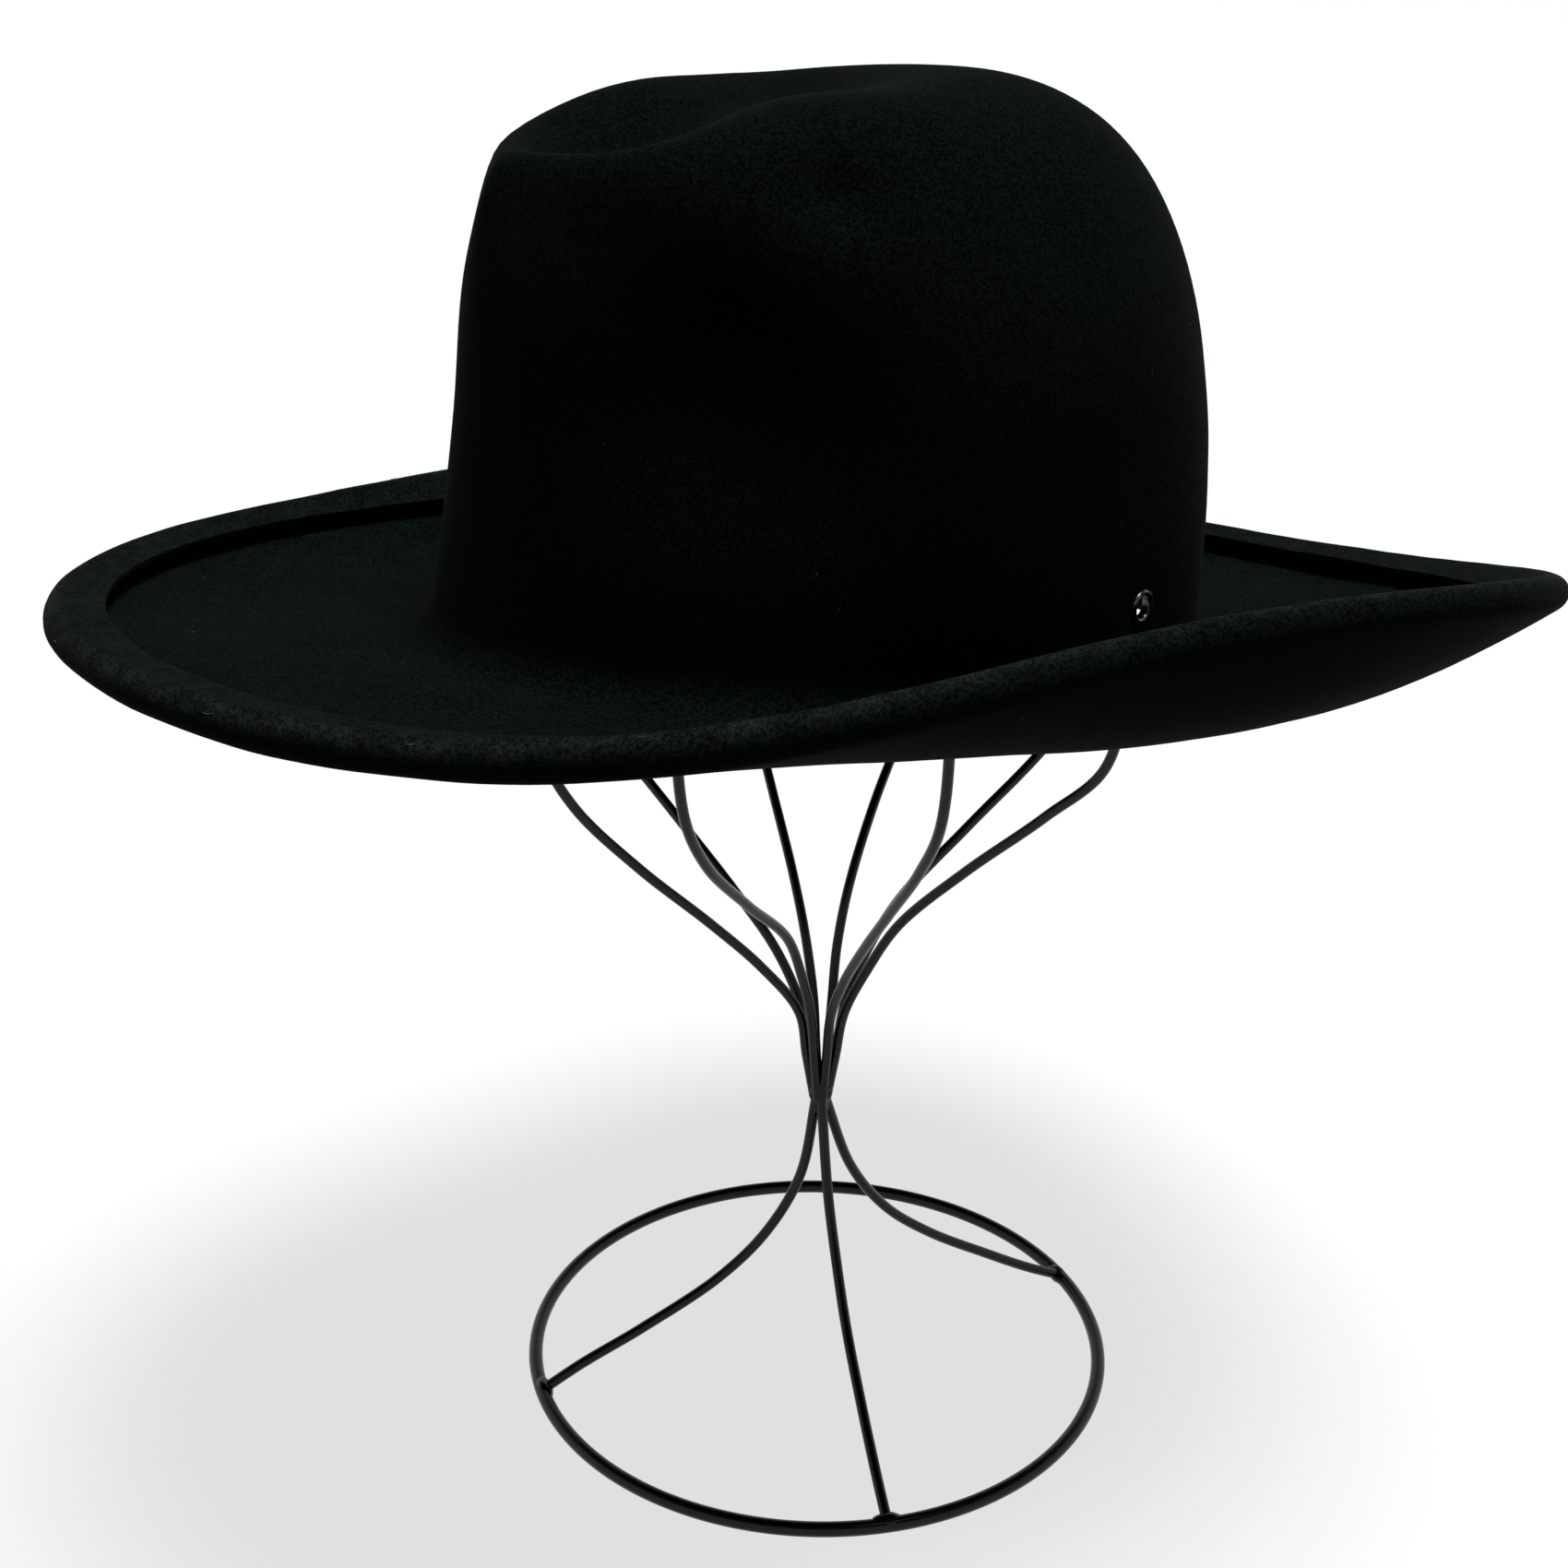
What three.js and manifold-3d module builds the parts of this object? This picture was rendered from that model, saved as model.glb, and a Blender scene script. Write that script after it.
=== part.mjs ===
// A black felt western fedora with a rolled edge, resting on a wire hat stand.
// Millimetres, +Z up. The front of the hat faces -Y and its left side faces +X.
import * as THREE from 'three';
import { mergeVertices } from 'three/addons/utils/BufferGeometryUtils.js';
import Module from 'manifold-3d';

const wasm = await Module();
wasm.setup();

const DEGREE = Math.PI / 180;
const TURN = 2 * Math.PI;
const GAP = 0.35;

// Felt
const FELT = 2.2;
const CROWN_LENGTH = 206;
const CROWN_WIDTH = 172;
const CROWN_HEIGHT = 144;
const CROWN_FILLET = 9;
const BRIM_WIDTH = 94;
const BRIM_LIFT = 33;
const CURL_RADIUS = 3.4;
const CURL_TURN = 186 * DEGREE;
const LIP_WIDTH = 9;
// How far the top of the crown has been pushed over to the left and to the back, and how high up it bends
const CROWN_PUSH_LEFT = -3.6;
const CROWN_PUSH_BACK = -9.5;
const CROWN_PUSH_BEND = 1.5;
// How quickly the creases fade down over the shoulder of the crown
const CREASE_FADE = 3;

// The hat's place on the stand
const HAT_HEIGHT = 227;
const HAT_LEFT = -0.2;
const HAT_BACK = -1.5;
const HAT_TIP = -4.9 * DEGREE;
const HAT_LEAN = -1.7 * DEGREE;

// Eyelets
const EYELET_HOLE = 5.6;
const EYELET_BARREL_WALL = 0.35;
const EYELET_FLANGE = 8.6;
const EYELET_BEAD = 0.8;
const EYELET_INNER_BEAD = 0.6;
const EYELET_HEIGHT = 23;
const EYELET_ANGLE = 113 * DEGREE;
const DRILL_LENGTH = 13;

// Wire stand
const RING_RADIUS = 85;
const RING_WIRE = 4.1;
const LEG_WIRE = 3;
const ARM_WIRE = 2.8;
const CAGE_RADIUS = 82;
const WAIST_HEIGHT = 86;
const ARM_WAIST = 2;
const LEG_WAIST = 1.2;
const ARM_STUB = 18;
const LEG_STUB = 17;
const COLLAR_RADIUS = 3.9;
const COLLAR_LENGTH = 8;
const CAP_RADIUS = 12;
const CAP_THICKNESS = 4.6;
const WELD_RADIUS = 3.2;
const WELD_INSET = 1;

// Mesh fineness
const FELT_COLUMNS = 60;
const CROWN_ROWS = 16;
const FILLET_ROWS = 2;
const BRIM_ROWS = 5;
const CURL_ROWS = 5;
const EYELET_SIDES = 20;
const BEAD_STEPS = 4;
const WIRE_SIDES = 8;
const RING_STEPS = 48;
const ARM_STEPS = 26;
const LEG_STEPS = 12;
const STUB_STEPS = 3;
const WELD_SIDES = 10;
const COLLAR_SIDES = 16;
const CAP_SIDES = 24;
const HALVINGS = 30;
const MERGE_DISTANCE = 0.0001;

// The open crown before it is creased. squareness is how boxy the shoulder is, lean how much the wall
// comes in by the top and belly how far it swells between, as shares of that side's half width.
const CROWN_SIDES = {
  front: { squareness: 4.82, lean: 0.04, belly: -0.04 },
  back: { squareness: 4.03, lean: 0.03, belly: -0.02 },
  side: { squareness: 2.22, lean: 0.04, belly: 0.06 },
};
// How much the top rises to the back and to the left of the middle, as shares of the crown's height
const TOP_RISE_BACK = 0.015;
const TOP_RISE_LEFT = -0.018;

// Hand-made dents. A crease presses the top down along the middle, a pinch presses both sides in.
// along and reach: place from the middle towards the back and half length, as shares of the half length;
// up, tall and depth: height, half height and depth, as shares of the crown's height;
// across: half width, as a share of the crown's half width.
const CREASES = [
  { name: 'front bowl', along: -0.585, reach: 0.25, across: 0.443, depth: 0.222 },
  { name: 'long crease', along: -0.145, reach: 0.29, across: 0.443, depth: 0.084 },
];
const PINCHES = [
  { name: 'front pinch', along: -0.62, reach: 0.29, up: 0.45, tall: 0.19, depth: 0.085 },
  { name: 'nose pinch', along: -0.849, reach: 0.153, up: 0.754, tall: 0.157, depth: 0.088 },
];
const PINCH_SOFTNESS = 0.21;

// The brim at eight stations from the front towards the left side: its reach from the foot of the crown
// and the height of its edge over the foot, as shares of BRIM_WIDTH and BRIM_LIFT.
const BRIM_STATIONS = [
  { name: 'front', reach: 0.98, lift: 0.04 },
  { name: 'front left', reach: 0.82, lift: 0.17 },
  { name: 'left', reach: 0.747, lift: 0.95 },
  { name: 'back left', reach: 0.979, lift: 0.9 },
  { name: 'back', reach: 0.891, lift: 0.255 },
  { name: 'back right', reach: 1.05, lift: 0.245 },
  { name: 'right', reach: 0.745, lift: 0.5 },
  { name: 'front right', reach: 0.91, lift: 0.12 },
];
// How late the brim turns up on its way out: 1 is a straight slope
const BRIM_TURN = { ends: 1.1, sides: 2.94 };

// Legs of the stand: turn in degrees anticlockwise from +X, seen from above, and distance out at five heights,
// as shares of the ring's radius
const LEGS = [
  { name: 'leg_front', turn: 343, high: 0.13, upper: 0.28, middle: 0.43, lower: 0.66, low: 0.84 },
  { name: 'leg_back', turn: 84, high: 0.12, upper: 0.26, middle: 0.44, lower: 0.68, low: 0.85 },
  { name: 'leg_side', turn: 259, high: 0.07, upper: 0.19, middle: 0.36, lower: 0.64, low: 0.86 },
];
// Those five heights as shares of the waist's
const LEG_HEIGHTS = { high: 0.7, upper: 0.5, middle: 0.35, lower: 0.2, low: 0.1 };

// Arms of the stand, bent by hand: turn likewise, and distance out at four heights as shares of CAGE_RADIUS
const ARMS = [
  { name: 'arm_1', turn: 35, low: 0.17, lower: 0.28, upper: 0.51, high: 0.77 },
  { name: 'arm_2', turn: 80, low: 0.16, lower: 0.28, upper: 0.53, high: 0.79 },
  { name: 'arm_3', turn: 125, low: 0.12, lower: 0.21, upper: 0.42, high: 0.72 },
  { name: 'arm_4', turn: 170, low: 0.17, lower: 0.31, upper: 0.55, high: 0.79 },
  { name: 'arm_5', turn: 215, low: 0.18, lower: 0.34, upper: 0.57, high: 0.8 },
  { name: 'arm_6', turn: 260, low: 0.22, lower: 0.4, upper: 0.65, high: 0.86 },
  { name: 'arm_7', turn: 304, low: 0.16, lower: 0.27, upper: 0.56, high: 0.83 },
  { name: 'arm_8', turn: 350, low: 0.2, lower: 0.36, upper: 0.59, high: 0.82 },
];
// Heights of those four points over the waist, as shares of the height from the waist to the hat's brim
const ARM_HEIGHTS = { low: 0.31, lower: 0.42, upper: 0.56, high: 0.7 };
// The rest of every arm: the stub's flare, over the waist, and the dome inside the crown, over the brim,
// as shares of the same height and of the height from the brim to the cap
const ARM_FLARE = [
  { up: 0.1, out: 0.055 },
  { up: 0.2, out: 0.085 },
];
const ARM_DOME = [
  { up: -0.2, out: 0.96 },
  { up: 0, out: 1 },
  { up: 0.35, out: 0.93 },
  { up: 0.7, out: 0.74 },
  { up: 0.93, out: 0.42 },
];
// The waist's weld from its lowest point up: height and distance out as shares of its length and radius
const COLLAR_SHAPE = [
  { up: -0.7, out: 0 },
  { up: -0.7, out: 0.62 },
  { up: -0.2, out: 0.68 },
  { up: 0.3, out: 0.9 },
  { up: 0.7, out: 1 },
  { up: 1, out: 0 },
];

const feltMaterial = new THREE.MeshStandardMaterial({ color: 0x0b0f0e, roughness: 0.95, metalness: 0 });
const eyeletMaterial = new THREE.MeshStandardMaterial({ color: 0x2a2d2e, roughness: 0.3, metalness: 0.9 });
const wireMaterial = new THREE.MeshStandardMaterial({ color: 0x0a0a0a, roughness: 0.35, metalness: 0.2 });

function addMesh(group, name, geometry, material) {
  const mesh = new THREE.Mesh(geometry, material.clone());
  mesh.name = name;
  group.add(mesh);
  return mesh;
}

// Solids

function toSolid(geometry) {
  const bare = geometry.clone();
  bare.deleteAttribute('normal');
  bare.deleteAttribute('uv');
  const merged = mergeVertices(bare, MERGE_DISTANCE);
  const vertProperties = new Float32Array(merged.attributes.position.array);
  const triVerts = new Uint32Array(merged.index.array);
  return new wasm.Manifold(new wasm.Mesh({ numProp: 3, vertProperties, triVerts }));
}

function toGeometry(solid) {
  const mesh = solid.getMesh();
  const geometry = new THREE.BufferGeometry();
  geometry.setAttribute('position', new THREE.BufferAttribute(new Float32Array(mesh.vertProperties), 3));
  geometry.setIndex(new THREE.BufferAttribute(new Uint32Array(mesh.triVerts), 1));
  geometry.computeVertexNormals();
  return geometry;
}

function wire(curve, diameter, steps) {
  const section = new THREE.Shape();
  section.absarc(0, 0, diameter / 2, 0, TURN, false);
  const options = { steps, bevelEnabled: false, extrudePath: curve, curveSegments: WIRE_SIDES / 2 };
  return new THREE.ExtrudeGeometry(section, options);
}

// Felt

function bump(value, centre, width) {
  return Math.exp(-(((value - centre) / width) ** 2));
}

// A smooth curve through one value per station, evenly spaced round the full turn
function aroundStations(values, angle) {
  let sum = 0;
  values.forEach((value, index) => {
    const apart = angle - (TURN * index) / values.length;
    const half = Math.sin(apart / 2);
    const weight = Math.abs(half) < 1e-9
      ? 1
      : (Math.sin((values.length * apart) / 2) * Math.cos(apart / 2)) / (values.length * half);
    sum += value * weight;
  });
  return sum;
}

// Weights of the front, back and side of the crown in the direction of an angle
function sideShares(angle) {
  const front = (1 + Math.cos(angle)) / 2;
  const back = 1 - front;
  return { front, back, side: 2 * front * back };
}

function crease(x, y, shoulder) {
  let depth = 0;
  for (const row of CREASES) {
    const along = bump(y, (row.along * CROWN_LENGTH) / 2, (row.reach * CROWN_LENGTH) / 2);
    depth += row.depth * CROWN_HEIGHT * along * bump(x, 0, (row.across * CROWN_WIDTH) / 2);
  }
  return depth * shoulder ** CREASE_FADE;
}

function pinch(x, y, z) {
  let depth = 0;
  for (const row of PINCHES) {
    const along = bump(y, (row.along * CROWN_LENGTH) / 2, (row.reach * CROWN_LENGTH) / 2);
    depth += row.depth * CROWN_HEIGHT * along * bump(z, row.up * CROWN_HEIGHT, row.tall * CROWN_HEIGHT);
  }
  return depth * Math.tanh(x / ((PINCH_SOFTNESS * CROWN_WIDTH) / 2));
}

// Middle of the felt on the crown: angle from the front towards the left side, share of the way up it
function crownPoint(angle, share) {
  const { front, back, side } = sideShares(angle);
  const tilt = (share * Math.PI) / 2;
  const power = CROWN_SIDES.front.squareness * front ** 2
    + CROWN_SIDES.back.squareness * back ** 2
    + CROWN_SIDES.side.squareness * side;
  const size = (Math.cos(tilt) ** power + Math.sin(tilt) ** power) ** (1 / power);
  const out = Math.cos(tilt) / size;
  const up = Math.sin(tilt) / size;
  const swell = 4 * up * (1 - up);
  const wall = (place) => 1 - CROWN_SIDES[place].lean * up + CROWN_SIDES[place].belly * swell;
  const half = CROWN_LENGTH / 2;
  const y = -half * Math.cos(angle) * out * (wall('front') * front + wall('back') * back);
  const x = (CROWN_WIDTH / 2) * Math.sin(angle) * out * wall('side');
  const rise = TOP_RISE_BACK * (y / half) + TOP_RISE_LEFT * (x / (CROWN_WIDTH / 2));
  const z = CROWN_FILLET + up * (CROWN_HEIGHT - CROWN_FILLET + CROWN_HEIGHT * rise) - crease(x, y, up);
  const push = up ** CROWN_PUSH_BEND;
  return new THREE.Vector3(x - pinch(x, y, z) + CROWN_PUSH_LEFT * push, y + CROWN_PUSH_BACK * push, z);
}

// A point outside the foot of the crown, at a distance out from the oval and a height
function footPoint(angle, out, z) {
  const x = (CROWN_WIDTH / 2) * Math.sin(angle);
  const y = (-CROWN_LENGTH / 2) * Math.cos(angle);
  const away = new THREE.Vector3(Math.sin(angle) / CROWN_WIDTH, -Math.cos(angle) / CROWN_LENGTH, 0);
  return new THREE.Vector3(x, y, z).addScaledVector(away.normalize(), out);
}

// Section of the brim at an angle, from the crown's fillet to the raw lip of the rolled edge, as pairs of
// distance out and height
function brimSection(angle) {
  const section = [];
  for (let row = 1; row <= FILLET_ROWS; row += 1) {
    const turn = ((Math.PI / 2) * row) / (FILLET_ROWS + 1);
    section.push([CROWN_FILLET * (1 - Math.cos(turn)), CROWN_FILLET * (1 - Math.sin(turn))]);
  }
  const reach = BRIM_WIDTH * aroundStations(BRIM_STATIONS.map((row) => row.reach), angle);
  const lift = BRIM_LIFT * aroundStations(BRIM_STATIONS.map((row) => row.lift), angle);
  const turn = BRIM_TURN.ends + (BRIM_TURN.sides - BRIM_TURN.ends) * Math.sin(angle) ** 2;
  const edge = reach - CURL_RADIUS - FELT / 2;
  const span = edge - CROWN_FILLET;
  for (let row = 0; row <= BRIM_ROWS; row += 1) {
    const share = row / BRIM_ROWS;
    section.push([CROWN_FILLET + span * share, lift * share ** turn]);
  }
  const slope = Math.atan2(lift * turn, span);
  const tilted = (out, up) => [
    edge + out * Math.cos(slope) - up * Math.sin(slope),
    lift + out * Math.sin(slope) + up * Math.cos(slope),
  ];
  for (let row = 1; row <= CURL_ROWS; row += 1) {
    const around = -Math.PI / 2 + (CURL_TURN * row) / CURL_ROWS;
    section.push(tilted(CURL_RADIUS * Math.cos(around), CURL_RADIUS * (1 + Math.sin(around))));
  }
  const last = -Math.PI / 2 + CURL_TURN;
  const lipOut = CURL_RADIUS * Math.cos(last) - LIP_WIDTH * Math.sin(last);
  const lipUp = CURL_RADIUS * (1 + Math.sin(last)) + LIP_WIDTH * Math.cos(last);
  section.push(tilted(lipOut, lipUp));
  return section;
}

// Rows of points on the middle of the felt, from the top of the crown to the lip, each once round the hat
function feltRows() {
  const angles = Array.from({ length: FELT_COLUMNS }, (_, column) => (TURN * column) / FELT_COLUMNS);
  const rows = [];
  for (let row = 0; row <= CROWN_ROWS; row += 1) {
    rows.push(angles.map((angle) => crownPoint(angle, 1 - row / CROWN_ROWS)));
  }
  const sections = angles.map(brimSection);
  sections[0].forEach((_, row) => {
    rows.push(angles.map((angle, column) => footPoint(angle, ...sections[column][row])));
  });
  return rows;
}

// Directions square to the felt, pointing out of the crown and up from the brim
function feltNormals(rows) {
  return rows.map((points, row) => points.map((_, column) => {
    if (row === 0) {
      return new THREE.Vector3(0, 0, 1);
    }
    const next = points[(column + 1) % points.length];
    const previous = points[(column + points.length - 1) % points.length];
    const above = rows[row - 1][column];
    const below = rows[Math.min(row + 1, rows.length - 1)][column];
    const round = new THREE.Vector3().subVectors(next, previous);
    const down = new THREE.Vector3().subVectors(below, above);
    return down.cross(round).normalize();
  }));
}

// Closed solid of the two skins of the felt, joined at the lip
function feltGeometry() {
  const rows = feltRows();
  const normals = feltNormals(rows);
  const columns = FELT_COLUMNS;
  const positions = [];
  const indices = [];
  const skins = [FELT / 2, -FELT / 2].map((offset) => rows.map((points, row) => {
    const count = row === 0 ? 1 : columns;
    return points.slice(0, count).map((point, column) => {
      positions.push(...point.clone().addScaledVector(normals[row][column], offset).toArray());
      return positions.length / 3 - 1;
    });
  }));
  const quad = (a, b, c, d) => indices.push(a, b, c, a, c, d);
  for (let column = 0; column < columns; column += 1) {
    const next = (column + 1) % columns;
    const [outer, inner] = skins;
    indices.push(outer[0][0], outer[1][column], outer[1][next]);
    indices.push(inner[0][0], inner[1][next], inner[1][column]);
    for (let row = 1; row < rows.length - 1; row += 1) {
      quad(outer[row][column], outer[row + 1][column], outer[row + 1][next], outer[row][next]);
      quad(inner[row][column], inner[row][next], inner[row + 1][next], inner[row + 1][column]);
    }
    const end = rows.length - 1;
    quad(outer[end][column], inner[end][column], inner[end][next], outer[end][next]);
  }
  const geometry = new THREE.BufferGeometry();
  geometry.setAttribute('position', new THREE.Float32BufferAttribute(positions, 3));
  geometry.setIndex(indices);
  geometry.computeVertexNormals();
  return geometry;
}

// Where an eyelet sits: the middle of the felt at its height, with +Z square to the felt
function eyeletPlace(angle) {
  let low = 0;
  let high = 0.5;
  for (let step = 0; step < HALVINGS; step += 1) {
    const middle = (low + high) / 2;
    if (crownPoint(angle, middle).z < EYELET_HEIGHT) {
      low = middle;
    } else {
      high = middle;
    }
  }
  const rise = (low + high) / 2;
  const small = 0.01;
  const round = crownPoint(angle + small, rise).sub(crownPoint(angle - small, rise));
  const up = crownPoint(angle, rise + small).sub(crownPoint(angle, rise - small));
  const out = round.clone().cross(up).normalize();
  const across = round.normalize();
  const upright = new THREE.Vector3().crossVectors(out, across);
  const place = new THREE.Matrix4().makeBasis(across, upright, out);
  return place.setPosition(crownPoint(angle, rise));
}

// Eyelet about +Z: a barrel through the felt with a round bead outside and a flatter one inside
function eyeletGeometry() {
  const bore = EYELET_HOLE / 2;
  const barrel = bore + EYELET_BARREL_WALL;
  const seat = FELT / 2 + GAP;
  const middle = (bore + EYELET_FLANGE / 2) / 2;
  const half = (EYELET_FLANGE / 2 - bore) / 2;
  const profile = [];
  for (let step = 0; step <= BEAD_STEPS; step += 1) {
    const around = (Math.PI * step) / BEAD_STEPS;
    profile.push([middle + half * Math.cos(around), seat + EYELET_BEAD * Math.sin(around)]);
  }
  for (let step = 0; step <= BEAD_STEPS; step += 1) {
    const around = Math.PI * (1 + step / BEAD_STEPS);
    profile.push([middle + half * Math.cos(around), -seat + EYELET_INNER_BEAD * Math.sin(around)]);
  }
  profile.push([barrel, -seat], [barrel, seat], profile[0]);
  const points = profile.map(([radius, height]) => new THREE.Vector2(radius, height));
  const geometry = new THREE.LatheGeometry(points, EYELET_SIDES);
  geometry.rotateX(Math.PI / 2);
  return geometry;
}

function eyeletDrill() {
  const radius = EYELET_HOLE / 2 + EYELET_BARREL_WALL + GAP;
  const drill = new THREE.CylinderGeometry(radius, radius, DRILL_LENGTH, EYELET_SIDES);
  drill.rotateX(Math.PI / 2);
  return drill;
}

function makeHat() {
  const hat = new THREE.Group();
  const places = { eyelet_left: eyeletPlace(EYELET_ANGLE), eyelet_right: eyeletPlace(-EYELET_ANGLE) };
  let felt = toSolid(feltGeometry());
  for (const [name, place] of Object.entries(places)) {
    felt = felt.subtract(toSolid(eyeletDrill().applyMatrix4(place)));
    const eyelet = addMesh(hat, name, eyeletGeometry(), eyeletMaterial);
    eyelet.applyMatrix4(place);
  }
  addMesh(hat, 'felt_body', toGeometry(felt), feltMaterial);
  hat.rotation.set(HAT_TIP, HAT_LEAN, 0, 'XYZ');
  hat.position.set(HAT_LEFT, HAT_BACK, HAT_HEIGHT);
  return hat;
}

// Wire stand

// Height of the stand's cap: just under the lowest felt over it
function capHeight(hat) {
  hat.updateMatrixWorld(true);
  let lowest = Infinity;
  const rows = feltRows().slice(0, CROWN_ROWS);
  for (const point of rows.flat()) {
    const placed = point.clone().applyMatrix4(hat.matrixWorld);
    if (Math.hypot(placed.x, placed.y) < CAP_RADIUS + FELT) {
      lowest = Math.min(lowest, placed.z);
    }
  }
  return lowest - FELT - GAP;
}

function upright(direction, stations) {
  const points = stations.map(([radius, height]) => new THREE.Vector3(
    radius * Math.cos(direction),
    radius * Math.sin(direction),
    height,
  ));
  return new THREE.CatmullRomCurve3(points, false, 'centripetal');
}

function armCurve(arm, top) {
  const neck = HAT_HEIGHT - WAIST_HEIGHT;
  const head = top - CAP_THICKNESS / 2 - HAT_HEIGHT;
  const bends = Object.entries(ARM_HEIGHTS).map(([place, up]) => [
    CAGE_RADIUS * arm[place],
    WAIST_HEIGHT + up * neck,
  ]);
  return upright(arm.turn * DEGREE, [
    [ARM_WAIST, WAIST_HEIGHT],
    ...ARM_FLARE.map(({ up, out }) => [out * CAGE_RADIUS, WAIST_HEIGHT + up * neck]),
    ...bends,
    ...ARM_DOME.map(({ up, out }) => [out * CAGE_RADIUS, HAT_HEIGHT + up * head]),
    [0, top - CAP_THICKNESS / 2],
  ]);
}

function legCurve(leg) {
  return upright(leg.turn * DEGREE, [
    [LEG_WAIST, WAIST_HEIGHT],
    ...Object.entries(LEG_HEIGHTS).map(([place, up]) => [RING_RADIUS * leg[place], WAIST_HEIGHT * up]),
    [RING_RADIUS, RING_WIRE / 2],
  ]);
}

// Part of a curve between two shares of its length
class CurvePart extends THREE.Curve {
  constructor(curve, start, end) {
    super();
    Object.assign(this, { curve, start, end });
  }

  getPoint(share, target = new THREE.Vector3()) {
    return target.copy(this.curve.getPointAt(this.start + (this.end - this.start) * share));
  }
}

// Share of a curve's length where it has gone a distance up or down from where it starts
function shareAtRise(curve, rise) {
  const start = curve.getPointAt(0).z;
  let low = 0;
  let high = 0.5;
  for (let step = 0; step < HALVINGS; step += 1) {
    const middle = (low + high) / 2;
    if (Math.abs(curve.getPointAt(middle).z - start) < rise) {
      low = middle;
    } else {
      high = middle;
    }
  }
  return (low + high) / 2;
}

// A wire in two parts with a fine gap between them: its stub in the waist's weld, and the rest
function splitWire(curve, diameter, stub, steps) {
  const share = shareAtRise(curve, stub);
  const gap = GAP / curve.getLength();
  return {
    stub: toSolid(wire(new CurvePart(curve, 0, share), diameter, STUB_STEPS)),
    rest: toSolid(wire(new CurvePart(curve, share + gap, 1), diameter, steps)),
  };
}

// A ring of round wire whose lowest side is flat
function ringGeometry(thickness) {
  const profile = [];
  for (let side = 0; side <= WIRE_SIDES; side += 1) {
    const around = (TURN * (side + 0.5)) / WIRE_SIDES;
    const reach = thickness / 2 / Math.cos(Math.PI / WIRE_SIDES);
    profile.push(new THREE.Vector2(RING_RADIUS + reach * Math.cos(around), reach * Math.sin(around)));
  }
  const geometry = new THREE.LatheGeometry(profile, RING_STEPS);
  geometry.rotateX(Math.PI / 2);
  geometry.translate(0, 0, RING_WIRE / 2);
  return geometry;
}

function weldGeometry(leg, radius) {
  const geometry = new THREE.SphereGeometry(radius, WELD_SIDES, WELD_SIDES - 2);
  geometry.rotateX(Math.PI / 2);
  const out = RING_RADIUS - WELD_INSET;
  geometry.translate(out * Math.cos(leg.turn * DEGREE), out * Math.sin(leg.turn * DEGREE), WELD_RADIUS + GAP);
  return geometry;
}

// The waist's weld: metal round the wires, widest at its top
function collarGeometry() {
  const profile = COLLAR_SHAPE.map(({ up, out }) => new THREE.Vector2(
    COLLAR_RADIUS * out,
    COLLAR_LENGTH * up,
  ));
  const geometry = new THREE.LatheGeometry(profile, COLLAR_SIDES);
  geometry.rotateX(Math.PI / 2);
  geometry.translate(0, 0, WAIST_HEIGHT);
  return geometry;
}

// The cap where the arms meet under the crease: a disc with a rounded top edge
function capGeometry(top) {
  const corner = CAP_THICKNESS / 3;
  const profile = [
    [0, -CAP_THICKNESS],
    [CAP_RADIUS - corner, -CAP_THICKNESS],
    [CAP_RADIUS, -CAP_THICKNESS + corner],
    [CAP_RADIUS, -corner],
    [CAP_RADIUS - corner, 0],
    [0, 0],
  ];
  const geometry = new THREE.LatheGeometry(profile.map((pair) => new THREE.Vector2(...pair)), CAP_SIDES);
  geometry.rotateX(Math.PI / 2);
  geometry.translate(0, 0, top);
  return geometry;
}

// The room round the cap that the arms stay out of
function capRoom(top) {
  const radius = CAP_RADIUS + GAP;
  const height = 4 * (CAP_THICKNESS + GAP);
  const room = new THREE.CylinderGeometry(radius, radius, height, CAP_SIDES);
  room.rotateX(Math.PI / 2);
  room.translate(0, 0, top - CAP_THICKNESS / 2);
  return toSolid(room);
}

function makeStand(hat) {
  const stand = new THREE.Group();
  const top = capHeight(hat);
  let waist = toSolid(collarGeometry());
  let ring = toSolid(ringGeometry(RING_WIRE));
  let ringRoom = toSolid(ringGeometry(RING_WIRE + 2 * GAP));
  for (const leg of LEGS) {
    ring = ring.add(toSolid(weldGeometry(leg, WELD_RADIUS)));
    ringRoom = ringRoom.add(toSolid(weldGeometry(leg, WELD_RADIUS + GAP)));
  }
  for (const leg of LEGS) {
    const { stub, rest } = splitWire(legCurve(leg), LEG_WIRE, LEG_STUB, LEG_STEPS);
    waist = waist.add(stub);
    addMesh(stand, leg.name, toGeometry(rest.subtract(ringRoom)), wireMaterial);
  }
  const room = capRoom(top);
  for (const arm of ARMS) {
    const { stub, rest } = splitWire(armCurve(arm, top), ARM_WIRE, ARM_STUB, ARM_STEPS);
    waist = waist.add(stub);
    addMesh(stand, arm.name, toGeometry(rest.subtract(room)), wireMaterial);
  }
  addMesh(stand, 'base_ring', toGeometry(ring), wireMaterial);
  addMesh(stand, 'waist_weld', toGeometry(waist), wireMaterial);
  addMesh(stand, 'top_cap', capGeometry(top), wireMaterial);
  return stand;
}

// The origin is on the floor under the middle of the whole thing, seen from above
const hat = makeHat();
const root = new THREE.Group();
root.add(hat, makeStand(hat));
const middle = new THREE.Box3().setFromObject(root, true).getCenter(new THREE.Vector3());
root.position.set(-middle.x, -middle.y, 0);

export default root;
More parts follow.
